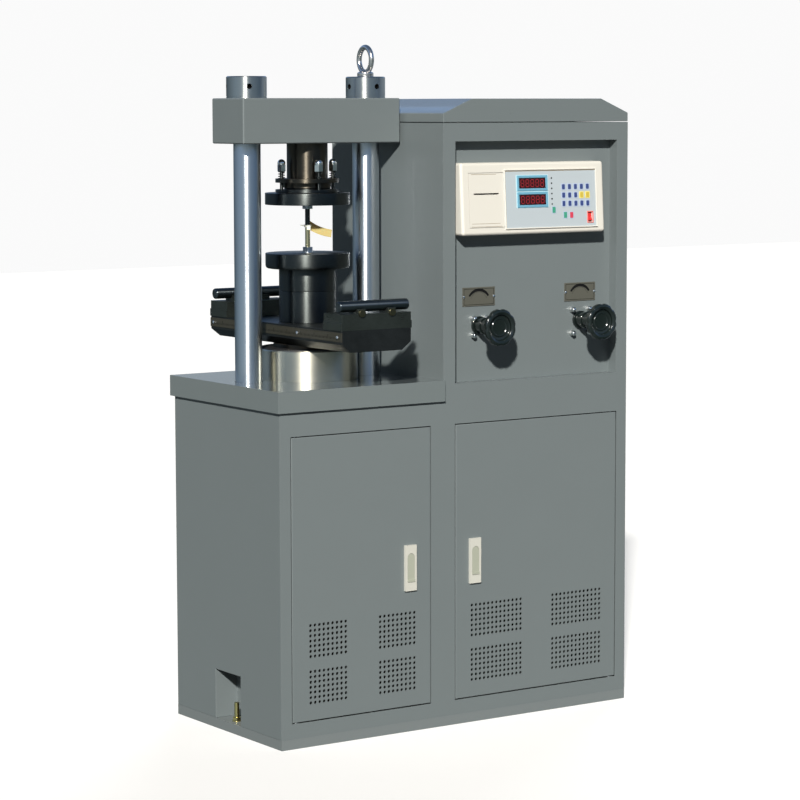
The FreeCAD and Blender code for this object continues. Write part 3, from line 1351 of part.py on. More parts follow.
def valves():
    keep(group("valve_bodies", valve_body("left"), valve_body("right")))
    nuts = []
    for side in ("left", "right"):
        for name, x, z in stud_places(side):
            nuts.append(valve_nut(name, x, z))
    keep(group("valve_nuts", *nuts))
    for side in ("left", "right"):
        handwheel(side)


def bent_pipe(name, *places):
    """Tube of straight runs joined by arcs that touch both."""
    bend = SIZES["pipe_bend"]
    held = [corner(f"{name}_corner_{index}", *spot) for index, spot in enumerate(places)]
    doc.recompute()
    corners = [Vector(point.X.Value, point.Y.Value, point.Z.Value) for point in held]
    edges = []
    start = corners[0]
    for before, here, after in zip(corners, corners[1:], corners[2:]):
        towards = (before - here).normalize()
        onwards = (after - here).normalize()
        enter = here + towards * bend
        leave = here + onwards * bend
        centre = here + (towards + onwards) * bend
        middle = centre + (here - centre).normalize() * bend
        edges.append(Part.LineSegment(start, enter).toShape())
        edges.append(Part.Arc(enter, middle, leave).toShape())
        start = leave
    edges.append(Part.LineSegment(start, corners[-1]).toShape())
    first = (corners[1] - corners[0]).normalize()
    ring = Part.Wire([Part.Circle(corners[0], first, SIZES["pipe_radius"]).toShape()])
    return Part.Wire(edges).makePipeShell([ring], True, True)


def hydraulic_unit():
    outer = box(
        "tank_outer", "tank_x", "tank_y", "plinth_height", "tank_width", "tank_depth", "tank_height",
    )
    inner = box(
        "tank_inner", "tank_x + tank_wall", "tank_y + tank_wall", "plinth_height + tank_wall",
        "tank_width - 2 * tank_wall", "tank_depth - 2 * tank_wall", "tank_height - 2 * tank_wall",
    )
    drain = rod(
        "tank_return_hole", "right_valve_x", "return_y", "tank_top - tank_wall - 1",
        "pipe_radius + return_hole_gap", "tank_wall + 2",
    )
    keep(cut("oil_tank", outer, inner, drain))

    shell = rod("motor_shell", "motor_x", "unit_y", "unit_z", "motor_radius", "motor_length", "x")
    fins = []
    for index in range(int(SIZES["motor_fins"])):
        fin = add("Part::Box", f"motor_fin_{index}")
        bind(
            fin, Length="motor_length - 2 * motor_fin_inset", Width="motor_fin_width",
            Height="motor_radius + motor_fin_height",
        )
        place(
            fin, "motor_x + motor_fin_inset", "unit_y", "unit_z",
            FreeCAD.Rotation(Vector(1, 0, 0), 360 / SIZES["motor_fins"] * index),
        )
        fins.append(fin)
    foot = box(
        "motor_foot_block", "motor_x + motor_foot_inset", "unit_y - motor_foot_width / 2", "tank_top",
        "motor_length - 2 * motor_foot_inset", "motor_foot_width", "motor_foot_height",
    )
    motor_bore = rod(
        "motor_bore", "motor_x - 1", "unit_y", "unit_z", "shaft_radius + shaft_running",
        "shaft_inside + 2", "x",
    )
    keep(cut("motor", join("motor_solid", shell, foot, *fins), motor_bore))

    block = box(
        "pump_block", "pump_x - pump_half", "unit_y - pump_half", "tank_top",
        "2 * pump_half", "2 * pump_half", "unit_height + pump_half",
    )
    nose = rod(
        "pump_nose_ring", "pump_x + pump_half - 1", "unit_y", "unit_z", "hub_radius", "pump_nose - 1", "x",
    )
    pump_bore = rod(
        "pump_bore", "pump_x + pump_half - shaft_inside", "unit_y", "unit_z",
        "shaft_radius + shaft_running", "shaft_inside + pump_nose + 2", "x",
    )
    keep(cut("pump", join("pump_solid", block, nose), pump_bore))

    shaft = rod(
        "coupling_shaft", "pump_x + pump_half - shaft_inside + 1", "unit_y", "unit_z",
        "shaft_radius", "motor_from_pump + 2 * shaft_inside - 2", "x",
    )
    hub = rod(
        "coupling_hub", "pump_x + pump_half + (motor_from_pump - hub_length) / 2 + hub_shift", "unit_y",
        "unit_z", "hub_radius", "hub_length", "x",
    )
    keep(join("drive_coupling", shaft, hub))

    valve_back = "block_y + valve_block_depth"
    pressure = bent_pipe(
        "pressure_pipe", ("load_x", "port_y", "port_z"), ("load_x", "pipe_row", "port_z"),
        ("left_valve_x", "pipe_row", "port_z"), ("left_valve_x", "pipe_row", "valve_height"),
        ("left_valve_x", valve_back, "valve_height"),
    )
    feed_top = "valve_height - valve_block / 2"
    feed_y = "block_y + feed_setback"
    feed = bent_pipe(
        "feed_pipe", ("pump_x", "unit_y", "unit_z + pump_half"),
        ("pump_x", "unit_y", f"{feed_top} - pump_drop"), ("pump_x", feed_y, f"{feed_top} - pump_drop"),
        ("pump_x", feed_y, feed_top),
    )
    drain_run = bent_pipe(
        "return_pipe", ("right_valve_x", valve_back, "valve_height"),
        ("right_valve_x", "return_y", "valve_height"),
        ("right_valve_x", "return_y", "tank_top - tank_wall - return_dip"),
    )
    pipes = add("Part::Feature", "oil_pipes")
    pipes.Shape = Part.makeCompound([pressure, feed, drain_run])
    keep(pipes)


def floor_anchors():
    """Anchor studs in the side pockets, with washer and nut."""
    pieces = []
    for side, x in (("left", "left + anchor_inset"), ("right", "right - anchor_inset")):
        pieces.append(rod(
            f"{side}_anchor_stud", x, 0, 0, "anchor_radius", "plinth_height + anchor_rise",
        ))
        washer = rod(
            f"{side}_anchor_washer", x, 0, "plinth_height", "anchor_washer_radius",
            "anchor_washer_height",
        )
        nut = hexagon(
            f"{side}_anchor_hex", x, 0, "plinth_height + anchor_washer_height",
            "anchor_nut_flats", "anchor_nut_height",
        )
        bore = rod(
            f"{side}_anchor_bore", x, 0, "plinth_height - 1", "anchor_radius + thread_gap",
            "anchor_washer_height + anchor_nut_height + 2",
        )
        pieces.append(cut(
            f"{side}_anchor_nut", join(f"{side}_anchor_nut_solid", washer, nut), bore,
        ))
    keep(group("anchor_bolts", *pieces))


def build():
    plinth()
    side_panel("left", "low_height", "left", "left + panel_sheet", "left + panel_sheet - 1")
    side_panel(
        "right", "tall_height", "right - panel_sheet", "right - panel_sheet - pocket_depth",
        "right - pocket_depth",
    )
    inner_walls()
    front_frame()
    hinge_pins()
    table_top()
    roof_cover()
    instrument_panel()
    for side in ("left", "right"):
        door(side)
        door_lock(side)
    load_frame()
    crosshead()
    column_nuts()
    lifting_eye()
    hydraulic_ram()
    bending_beam()
    for end in ("front", "rear"):
        cradle(end)
    lower_platen()
    transit_stud()
    tie_and_strap()
    spherical_seat()
    controller()
    membrane_and_switch()
    dial_plates()
    valves()
    hydraulic_unit()
    floor_anchors()


def check_and_write():
    doc.recompute()
    faults = []
    for thing in doc.Objects:
        if {"Invalid", "Error"} & set(thing.State):
            faults.append(f"{thing.Label}: {thing.State}")
    for node in NODES:
        if node.Shape.isNull() or not node.Shape.isValid() or not node.Shape.Solids:
            faults.append(f"{node.Label}: shape is not a valid solid")
    if faults:
        raise RuntimeError("; ".join(faults))
    os.makedirs("parts", exist_ok=True)
    for node in NODES:
        node.Shape.exportStep(f"parts/{node.Label}.step")
        print(node.Label, len(node.Shape.Solids), round(node.Shape.Volume), node.Shape.BoundBox)
    print(len(NODES), "nodes")


build()
check_and_write()
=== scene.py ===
import json
import math

import bmesh
import bpy
from mathutils import Matrix, Vector


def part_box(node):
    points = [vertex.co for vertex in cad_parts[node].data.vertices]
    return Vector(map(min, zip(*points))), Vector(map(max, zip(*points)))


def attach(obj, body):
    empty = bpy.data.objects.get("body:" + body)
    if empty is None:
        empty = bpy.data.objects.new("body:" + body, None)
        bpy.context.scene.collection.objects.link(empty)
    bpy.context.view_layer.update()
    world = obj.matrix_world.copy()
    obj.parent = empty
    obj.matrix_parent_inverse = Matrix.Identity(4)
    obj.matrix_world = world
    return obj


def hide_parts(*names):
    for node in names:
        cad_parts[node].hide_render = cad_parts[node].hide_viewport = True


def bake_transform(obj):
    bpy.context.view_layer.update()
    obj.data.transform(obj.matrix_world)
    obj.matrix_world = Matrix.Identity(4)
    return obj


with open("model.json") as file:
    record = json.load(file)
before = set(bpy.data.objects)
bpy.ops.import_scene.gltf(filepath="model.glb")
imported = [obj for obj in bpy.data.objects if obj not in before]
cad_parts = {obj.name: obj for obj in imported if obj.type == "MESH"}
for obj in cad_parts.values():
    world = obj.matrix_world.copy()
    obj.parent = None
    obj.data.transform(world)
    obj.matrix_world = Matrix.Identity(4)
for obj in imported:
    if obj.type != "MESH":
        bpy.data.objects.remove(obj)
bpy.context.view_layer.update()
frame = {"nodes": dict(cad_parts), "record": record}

MM = 0.001
RECORD = frame["record"]
BODY_OF = {node: body for body, nodes in RECORD["behaviour"]["bodies"].items() for node in nodes}


# Camera at the photograph's viewpoint

CAMERA_PLACE = Vector((-3.17569, -4.66123, 1.24779))
CAMERA_YAW = math.radians(34.199)
CAMERA_PITCH = math.radians(-6.129)
CAMERA_ROLL = math.radians(-0.12)
LENS = 123.68


def add_camera():
    data = bpy.data.cameras.new("camera")
    data.lens = LENS
    data.sensor_width = 36
    data.clip_end = 60
    camera = bpy.data.objects.new("camera", data)
    forward = Vector((
        math.sin(CAMERA_YAW) * math.cos(CAMERA_PITCH),
        math.cos(CAMERA_YAW) * math.cos(CAMERA_PITCH), math.sin(CAMERA_PITCH),
    ))
    level = Vector((math.cos(CAMERA_YAW), -math.sin(CAMERA_YAW), 0))
    upright = level.cross(forward)
    right = level * math.cos(CAMERA_ROLL) + upright * math.sin(CAMERA_ROLL)
    up = upright * math.cos(CAMERA_ROLL) - level * math.sin(CAMERA_ROLL)
    turn = Matrix((right, up, -forward)).transposed().to_4x4()
    camera.matrix_world = Matrix.Translation(CAMERA_PLACE) @ turn
    bpy.context.scene.collection.objects.link(camera)
    bpy.context.scene.camera = camera


# Shader groups shared by the finishes

def new_group(name, inputs, outputs):
    group = bpy.data.node_groups.new(name, "ShaderNodeTree")
    for kind, label, value in inputs:
        socket = group.interface.new_socket(label, in_out="INPUT", socket_type=f"NodeSocket{kind}")
        socket.default_value = value
    for kind, label in outputs:
        group.interface.new_socket(label, in_out="OUTPUT", socket_type=f"NodeSocket{kind}")
    return group, group.nodes.new("NodeGroupInput"), group.nodes.new("NodeGroupOutput")


def noise(tree, coordinates, scale, detail=3.0, rough=0.5):
    node = tree.nodes.new("ShaderNodeTexNoise")
    node.inputs["Detail"].default_value = detail
    node.inputs["Roughness"].default_value = rough
    tree.links.new(coordinates, node.inputs["Vector"])
    if isinstance(scale, (int, float)):
        node.inputs["Scale"].default_value = scale
    else:
        tree.links.new(scale, node.inputs["Scale"])
    return node.outputs["Fac"]


def math_node(tree, operation, *values, clamp=False):
    node = tree.nodes.new("ShaderNodeMath")
    node.operation = operation
    node.use_clamp = clamp
    for socket, value in zip(node.inputs, values):
        if isinstance(value, (int, float)):
            socket.default_value = value
        else:
            tree.links.new(value, socket)
    return node.outputs[0]


def centred(tree, value, amount):
    """Value from 0 to 1 as a swing of amount about zero."""
    return math_node(tree, "MULTIPLY", math_node(tree, "SUBTRACT", value, 0.5), amount)


def tone_ramp(tree, value, tones):
    """Colour of a value from 0 to 1, from pairs of position and tone."""
    ramp = tree.nodes.new("ShaderNodeValToRGB")
    tree.links.new(value, ramp.inputs["Fac"])
    stops = ramp.color_ramp.elements
    for position, tone in tones[1:-1]:
        stops.new(position)
    for stop, (position, tone) in zip(stops, tones):
        stop.position = position
        stop.color = (*tone, 1)
    return ramp.outputs["Color"]


def mixed(tree, factor, first, second):
    """Colour between two colours."""
    node = tree.nodes.new("ShaderNodeMix")
    node.data_type = "RGBA"
    for label, value in (("Factor", factor), ("A", first), ("B", second)):
        socket = node.inputs[label]
        if isinstance(value, tuple):
            socket.default_value = value
        else:
            tree.links.new(value, socket)
    return node.outputs["Result"]


def finish_group():
    """Slow tone drift, fine grain and rubbed patches for painted, cast and moulded surfaces."""
    group, given, result = new_group(
        "surface_finish",
        [
            ("Color", "Tone", (0.5, 0.5, 0.5, 1)), ("Float", "Drift", 0.1), ("Float", "Grain scale", 900.0),
            ("Float", "Roughness", 0.4), ("Float", "Roughness drift", 0.1), ("Float", "Dust", 0.1),
        ],
        [("Color", "Color"), ("Float", "Roughness"), ("Float", "Height")],
    )
    coordinates = group.nodes.new("ShaderNodeTexCoord").outputs["Object"]
    broad = noise(group, coordinates, 3.0, 4.0)
    smudge = noise(group, coordinates, 22.0, 5.0, 0.65)
    grain = noise(group, coordinates, given.outputs["Grain scale"], 2.0)
    tint = group.nodes.new("ShaderNodeHueSaturation")
    group.links.new(given.outputs["Tone"], tint.inputs["Color"])
    swing = centred(group, broad, given.outputs["Drift"])
    fine = centred(group, smudge, math_node(group, "MULTIPLY", given.outputs["Drift"], 0.6))
    group.links.new(math_node(group, "ADD", math_node(group, "ADD", swing, fine), 1.0), tint.inputs["Value"])
    upward = group.nodes.new("ShaderNodeSeparateXYZ")
    group.links.new(group.nodes.new("ShaderNodeNewGeometry").outputs["Normal"], upward.inputs[0])
    facing = math_node(group, "MULTIPLY", upward.outputs["Z"], given.outputs["Dust"], clamp=True)
    settled = math_node(group, "MULTIPLY", facing, smudge, clamp=True)
    dusty = group.nodes.new("ShaderNodeMix")
    dusty.data_type = "RGBA"
    dusty.inputs["B"].default_value = (0.55, 0.54, 0.5, 1)
    group.links.new(settled, dusty.inputs["Factor"])
    group.links.new(tint.outputs["Color"], dusty.inputs["A"])
    group.links.new(dusty.outputs["Result"], result.inputs["Color"])
    worn = centred(group, smudge, given.outputs["Roughness drift"])
    group.links.new(
        math_node(group, "ADD", math_node(group, "ADD", given.outputs["Roughness"], worn), settled, clamp=True),
        result.inputs["Roughness"],
    )
    group.links.new(grain, result.inputs["Height"])
    return group


def tooling_group():
    """Fine lines left by grinding or turning, stretched along one direction."""
    group, given, result = new_group(
        "tool_marks",
        [
            ("Color", "Tone", (0.5, 0.5, 0.5, 1)), ("Vector", "Stretch", (1, 1, 1)), ("Float", "Scale", 60.0),
            ("Float", "Roughness", 0.3), ("Float", "Roughness drift", 0.15), ("Float", "Drift", 0.15),
        ],
        [("Color", "Color"), ("Float", "Roughness"), ("Float", "Height")],
    )
    coordinates = group.nodes.new("ShaderNodeTexCoord").outputs["Object"]
    stretched = group.nodes.new("ShaderNodeVectorMath")
    stretched.operation = "MULTIPLY"
    group.links.new(coordinates, stretched.inputs[0])
    group.links.new(given.outputs["Stretch"], stretched.inputs[1])
    lines = noise(group, stretched.outputs[0], given.outputs["Scale"], 6.0, 0.7)
    stains = noise(group, coordinates, 14.0, 4.0, 0.6)
    tint = group.nodes.new("ShaderNodeHueSaturation")
    group.links.new(given.outputs["Tone"], tint.inputs["Color"])
    swing = centred(group, lines, given.outputs["Drift"])
    patch = centred(group, stains, given.outputs["Drift"])
    group.links.new(math_node(group, "ADD", math_node(group, "ADD", swing, patch), 1.0), tint.inputs["Value"])
    group.links.new(tint.outputs["Color"], result.inputs["Color"])
    worn = centred(group, lines, given.outputs["Roughness drift"])
    smear = centred(group, stains, given.outputs["Roughness drift"])
    group.links.new(
        math_node(group, "ADD", math_node(group, "ADD", given.outputs["Roughness"], worn), smear, clamp=True),
        result.inputs["Roughness"],
    )
    group.links.new(lines, result.inputs["Height"])
    return group


FINISH = finish_group()
TOOLING = tooling_group()
FINISHES = {}


def dress_shader(name, group, values, bump, grain=None, **shader_values):
    """Material with one shared group feeding a Principled shader, its bump and its grain direction."""
    material = bpy.data.materials.new(name)
    material.use_nodes = True
    tree = material.node_tree
    shader = tree.nodes["Principled BSDF"]
    effect = tree.nodes.new("ShaderNodeGroup")
    effect.node_tree = group
    for label, value in values.items():
        effect.inputs[label].default_value = value
    relief = tree.nodes.new("ShaderNodeBump")
    relief.inputs["Strength"].default_value = bump[0]
    relief.inputs["Distance"].default_value = bump[1]
    tree.links.new(effect.outputs["Height"], relief.inputs["Height"])
    tree.links.new(effect.outputs["Color"], shader.inputs["Base Color"])
    tree.links.new(effect.outputs["Roughness"], shader.inputs["Roughness"])
    tree.links.new(relief.outputs["Normal"], shader.inputs["Normal"])
    if grain:
        along = tree.nodes.new("ShaderNodeCombineXYZ")
        for socket, value in zip(along.inputs, grain):
            socket.default_value = value
        tree.links.new(along.outputs[0], shader.inputs["Tangent"])
        shader.inputs["Anisotropic"].default_value = 0.88
    for label, value in shader_values.items():
        shader.inputs[label.replace("_", " ")].default_value = value
    FINISHES[name] = material
    return material


def painted(name, tone, rough, drift=0.1, grain=700.0, bump=0.12, dust=0.1, **more):
    values = {
        "Tone": (*tone, 1), "Drift": drift, "Grain scale": grain, "Roughness": rough,
        "Roughness drift": 0.12, "Dust": dust,
    }
    return dress_shader(name, FINISH, values, (bump, 0.0004), **more)


def machined(name, tone, rough, stretch, scale=60.0, drift=0.15, bump=0.1, spread=0.12, **more):
    values = {
        "Tone": (*tone, 1), "Stretch": stretch, "Scale": scale, "Roughness": rough,
        "Roughness drift": spread, "Drift": drift,
    }
    return dress_shader(name, TOOLING, values, (bump, 0.0002), **{"Metallic": 1.0, **more})


def make_finishes():
    painted("cabinet_paint", (0.152, 0.178, 0.185), 0.4, 0.05, 650.0, 0.12, 0.02, Coat_Weight=0.05)
    painted(
        "roof_paint", (0.152, 0.178, 0.185), 0.3, 0.05, 650.0, 0.08, 0.02, Coat_Weight=0.7,
        Coat_Roughness=0.12,
    )
    painted("deck_paint", (0.155, 0.182, 0.188), 0.16, 0.05, 650.0, 0.05, 0.02, Coat_Weight=1.0)
    # Cabinet paint made a little lighter for the plinth: painted light for its brighter lit front.
    painted("plinth_lit_paint", (0.168, 0.192, 0.198), 0.4, 0.05, 650.0, 0.12, 0.02)
    painted("crosshead_paint", (0.145, 0.17, 0.176), 0.42, 0.08, 420.0, 0.2, 0.03, Coat_Weight=0.1)
    painted("cream_case", (0.68, 0.665, 0.61), 0.42, 0.03, 900.0, 0.1, 0.02)
    # Brownish cream used as painted shade: the membrane rim's shadow and the printer cover's grooves.
    painted("cream_shade", (0.3, 0.24, 0.16), 0.5, 0.05, 900.0, 0.1, 0.0)
    painted("grey_membrane", (0.44, 0.5, 0.54), 0.5, 0.03, 1500.0, 0.1, 0.0)
    painted("black_phenolic", (0.007, 0.011, 0.01), 0.19, 0.3, 300.0, 0.04, 0.0, Coat_Weight=0.25)
    painted("red_switch", (0.62, 0.03, 0.03), 0.25, 0.1, 600.0, 0.05, 0.0)
    painted("switch_rim", (0.75, 0.2, 0.18), 0.35, 0.08, 900.0, 0.1, 0.0)
    painted("machine_grey", (0.2, 0.22, 0.22), 0.5, 0.15, 400.0, 0.2, 0.1)
    painted("white_nylon", (0.8, 0.79, 0.7), 0.4, 0.05, 600.0, 0.08, 0.0, Subsurface_Weight=0.1)
    painted("yellow_strap", (0.55, 0.4, 0.14), 0.5, 0.3, 500.0, 0.3, 0.0, Subsurface_Weight=0.2)
    # Near-black rubber, also painted shade on the cylinder's top.
    painted("seal_black_and_shade", (0.012, 0.012, 0.012), 0.55, 0.2, 500.0, 0.2, 0.0)
    # Near-black, barely reflective finish: painted shade in the nuts' spanner holes, the door gaps and behind
    # the vent holes.
    painted("shade_black", (0.003, 0.003, 0.003), 0.9, 0.2, 500.0, 0.2, 0.0, Specular_IOR_Level=0.1)
    painted("display_glass", (0.03, 0.004, 0.006), 0.15, 0.2, 100.0, 0.0, 0.0, Coat_Weight=0.4)
    painted("display_blue", (0.14, 0.36, 0.5), 0.4, 0.08, 900.0, 0.1, 0.0)
    painted("display_halo", (0.5, 0.72, 0.78), 0.4, 0.08, 900.0, 0.1, 0.0)
    painted("segment_dark", (0.3, 0.015, 0.02), 0.3, 0.1, 600.0, 0.05, 0.0)
    painted("key_blue", (0.035, 0.06, 0.2), 0.45, 0.1, 900.0, 0.1, 0.0)
    painted("key_pale", (0.4, 0.48, 0.62), 0.45, 0.05, 900.0, 0.1, 0.0)
    painted("key_yellow", (0.75, 0.66, 0.2), 0.45, 0.08, 900.0, 0.1, 0.0)
    painted("key_amber", (0.55, 0.42, 0.06), 0.45, 0.08, 900.0, 0.1, 0.0)
    painted("key_green", (0.05, 0.3, 0.2), 0.45, 0.08, 900.0, 0.1, 0.0)
    painted("key_red", (0.6, 0.05, 0.09), 0.45, 0.08, 900.0, 0.1, 0.0)
    painted("mark_dark", (0.004, 0.004, 0.004), 0.7, 0.1, 600.0, 0.1, 0.0, Specular_IOR_Level=0.2)
    painted("bronze_plate", (0.1, 0.1, 0.082), 0.45, 0.25, 500.0, 0.2, 0.0, Metallic=0.1)
    upright = (0.02, 0.01, 1.0)
    sideways = (1.0, 0.01, 0.02)
    machined("polished_steel", (0.62, 0.66, 0.7), 0.34, (1, 1, 9), 30.0, 0.05, 0.03, 0.06, grain=upright)
    machined("cylinder_steel", (0.64, 0.61, 0.5), 0.4, (1, 1, 14), 50.0, 0.12, 0.1, 0.12, grain=upright)
    machined("bright_steel", (0.6, 0.6, 0.6), 0.28, (9, 1, 1), 60.0, 0.15, 0.1)
    machined("nut_steel", (0.5, 0.51, 0.49), 0.3, (1, 1, 12), 50.0, 0.15, 0.12, grain=upright)
    machined("acorn_chrome", (0.75, 0.75, 0.73), 0.14, (3, 3, 3), 60.0, 0.05, 0.05, 0.05)
    machined(
        "blackened_steel", (0.062, 0.068, 0.066), 0.4, (1, 1, 6), 160.0, 0.6, 0.5, 0.5, grain=upright,
    )
    # Brown-black stem finish; on the piston it is painted shade.
    machined("stem_steel_and_piston_shade", (0.075, 0.066, 0.052), 0.4, (1, 1, 6), 160.0, 0.6, 0.5, 0.5, grain=upright)
    machined(
        "blackened_plate", (0.03, 0.034, 0.034), 0.42, (1, 5, 1), 120.0, 0.5, 0.25, 0.25, Metallic=0.8,
    )
    machined("cradle_steel", (0.055, 0.065, 0.058), 0.34, (1, 1, 5), 120.0, 0.5, 0.25, 0.3, Metallic=0.8)
    machined("roller_steel", (0.1, 0.115, 0.12), 0.3, (10, 1, 1), 40.0, 0.2, 0.06, grain=sideways)
    machined("eye_steel", (0.72, 0.68, 0.64), 0.22, (3, 3, 3), 60.0, 0.1, 0.1)
    machined("screw_steel", (0.16, 0.14, 0.08), 0.3, (4, 4, 4), 50.0, 0.3, 0.12)
    machined("zinc_plate", (0.62, 0.55, 0.34), 0.24, (4, 4, 4), 50.0, 0.25, 0.12)
    painted("lock_plate", (0.56, 0.56, 0.51), 0.4, 0.1, 600.0, 0.15, 0.0, Coat_Weight=0.2)
    painted("lock_lever", (0.38, 0.4, 0.33), 0.3, 0.1, 600.0, 0.15, 0.0, Coat_Weight=0.4)
    machined("brass_plate", (0.55, 0.47, 0.2), 0.3, (4, 4, 4), 50.0, 0.3, 0.15)
    machined("scale_metal", (0.05, 0.047, 0.034), 0.42, (1, 10, 1), 60.0, 0.4, 0.15, Metallic=0.4)


# Light and floor

KEY_TOWARDS = Vector((-0.55, -0.68, 0.49))
FILL_TOWARDS = Vector((0.66, 0.68, 0.3))
BRIGHT_SIDE = Vector((-0.899, -0.438, 0))
FLOOR_REACH = 14


def add_lamp(name, towards, energy, spread, tone, mirrored=True):
    """Distant lamp seen from the object along a direction."""
    data = bpy.data.lights.new(name, "SUN")
    data.energy = energy
    data.angle = math.radians(spread)
    data.color = tone
    lamp = bpy.data.objects.new(name, data)
    lamp.matrix_world = towards.to_track_quat("Z", "Y").to_matrix().to_4x4()
    lamp.visible_glossy = mirrored
    bpy.context.scene.collection.objects.link(lamp)


def add_sky():
    """Blue overhead, paler low down, and a dim ring below that is brightest towards the left."""
    world = bpy.data.worlds.new("studio")
    bpy.context.scene.world = world
    world.use_nodes = True
    tree = world.node_tree
    background = tree.nodes["Background"]
    direction = tree.nodes.new("ShaderNodeTexCoord").outputs["Generated"]
    height = tree.nodes.new("ShaderNodeSeparateXYZ")
    tree.links.new(direction, height.inputs[0])
    sky = tone_ramp(tree, height.outputs["Z"], (
        (0.0, (0.38, 0.42, 0.45)), (0.15, (0.4, 0.45, 0.52)), (0.31, (0.25, 0.44, 0.82)),
        (0.5, (0.12, 0.2, 0.34)), (1.0, (0.06, 0.1, 0.17)),
    ))
    towards = tree.nodes.new("ShaderNodeVectorMath")
    towards.operation = "DOT_PRODUCT"
    tree.links.new(direction, towards.inputs[0])
    towards.inputs[1].default_value = BRIGHT_SIDE
    side = math_node(tree, "MULTIPLY_ADD", towards.outputs["Value"], 0.5, 0.5)
    ring = tone_ramp(tree, side, (
        (0.0, (0.3, 0.36, 0.4)), (0.14, (0.25, 0.3, 0.34)), (0.2, (0.04, 0.06, 0.07)),
        (0.32, (0.04, 0.07, 0.08)), (0.75, (0.2, 0.25, 0.26)), (0.93, (0.31, 0.39, 0.43)),
        (1.0, (0.36, 0.44, 0.47)),
    ))
    raised = math_node(tree, "MULTIPLY", height.outputs["Z"], 3.0, clamp=True)
    seen = tree.nodes.new("ShaderNodeLightPath")
    tone = mixed(tree, seen.outputs["Is Camera Ray"], mixed(tree, raised, ring, sky), (0.96, 0.96, 0.96, 1))
    tree.links.new(tone, background.inputs["Color"])
    direct = math_node(tree, "MAXIMUM", seen.outputs["Is Camera Ray"], seen.outputs["Is Glossy Ray"])
    level = math_node(tree, "MULTIPLY_ADD", direct, 0.92, 0.08)
    tree.links.new(level, background.inputs["Strength"])


def add_floor():
    """Near-white floor that casts little light back and stays out of reflections."""
    data = bpy.data.meshes.new("floor")
    corners = [(FLOOR_REACH * x, FLOOR_REACH * y, 0) for x, y in ((-1, -1), (1, -1), (1, 1), (-1, 1))]
    data.from_pydata(corners, [], [(0, 1, 2, 3)])
    floor = bpy.data.objects.new("floor", data)
    bpy.context.scene.collection.objects.link(floor)
    paint = bpy.data.materials.new("floor_paint")
    paint.use_nodes = True
    tree = paint.node_tree
    shader = tree.nodes["Principled BSDF"]
    shader.inputs["Roughness"].default_value = 0.9
    seen = tree.nodes.new("ShaderNodeLightPath")
    tone = mixed(tree, seen.outputs["Is Camera Ray"], (0.13, 0.13, 0.13, 1), (0.86, 0.86, 0.86, 1))
    tree.links.new(tone, shader.inputs["Base Color"])
    shader.inputs["Emission Color"].default_value = (1, 1, 1, 1)
    tree.links.new(
        math_node(tree, "MULTIPLY", seen.outputs["Is Camera Ray"], 0.2), shader.inputs["Emission Strength"],
    )
    clear = tree.nodes.new("ShaderNodeBsdfTransparent")
    blend = tree.nodes.new("ShaderNodeMixShader")
    tree.links.new(seen.outputs["Is Glossy Ray"], blend.inputs[0])
    tree.links.new(shader.outputs[0], blend.inputs[1])
    tree.links.new(clear.outputs[0], blend.inputs[2])
    tree.links.new(blend.outputs[0], tree.nodes["Material Output"].inputs["Surface"])
    data.materials.append(paint)


# Making pieces

def finished(name, mesh, finish, body, nodes=(), sharp=32):
    """Object from a mesh, shaded, given its finish, and riding on its body."""
    mesh.materials.clear()
    mesh.materials.append(FINISHES[finish])
    if sharp:
        mesh.shade_smooth()
        mesh.set_sharp_from_angle(angle=math.radians(sharp))
    piece = bpy.data.objects.new(name, mesh)
    bpy.context.scene.collection.objects.link(piece)
    if body:
        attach(piece, body)
    if nodes:
        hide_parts(*nodes)
    return piece


def plain_mesh(bm, name):
    mesh = bpy.data.meshes.new(name)
    bm.to_mesh(mesh)
    bm.free()
    return mesh


def band(bm, low, high):
    """Faces between two closed rows of vertices of one length."""
    for index in range(len(low)):
        after = (index + 1) % len(low)
        bm.faces.new((low[index], low[after], high[after], high[index]))


def mesh_of(bm, name):
    bmesh.ops.remove_doubles(bm, verts=bm.verts, dist=1e-6)
    bmesh.ops.recalc_face_normals(bm, faces=bm.faces)
    return plain_mesh(bm, name)


def baked(piece):
    """Plain mesh of a piece with its modifiers applied."""
    graph = bpy.context.evaluated_depsgraph_get()
    mesh = bpy.data.meshes.new_from_object(piece.evaluated_get(graph))
    bpy.data.objects.remove(piece)
    return mesh


def bevelled(mesh, width, segments=2, angle=35):
    piece = bpy.data.objects.new("bevel_blank", mesh)
    bpy.context.scene.collection.objects.link(piece)
    bevel = piece.modifiers.new("bevel", "BEVEL")
    bevel.width = width
    bevel.segments = segments
    bevel.limit_method = "ANGLE"
    bevel.angle_limit = math.radians(angle)
    bevel.harden_normals = False
    return levelled(baked(piece))


def levelled(mesh):
    """Mesh whose wide faces stay flat between their rounded edges."""
    mesh.shade_smooth()
    mesh.set_sharp_from_angle(angle=math.radians(50))
    piece = bpy.data.objects.new("level_blank", mesh)
    bpy.context.scene.collection.objects.link(piece)
    weighted = piece.modifiers.new("level", "WEIGHTED_NORMAL")
    weighted.keep_sharp = True
    weighted.weight = 100
    return baked(piece)


def shell_of(seed):
    """Vertices joined to one vertex by edges."""
    found = {seed}
    waiting = [seed]
    while waiting:
        for edge in waiting.pop().link_edges:
            for vertex in edge.verts:
                if vertex not in found:
                    found.add(vertex)
                    waiting.append(vertex)
    return found


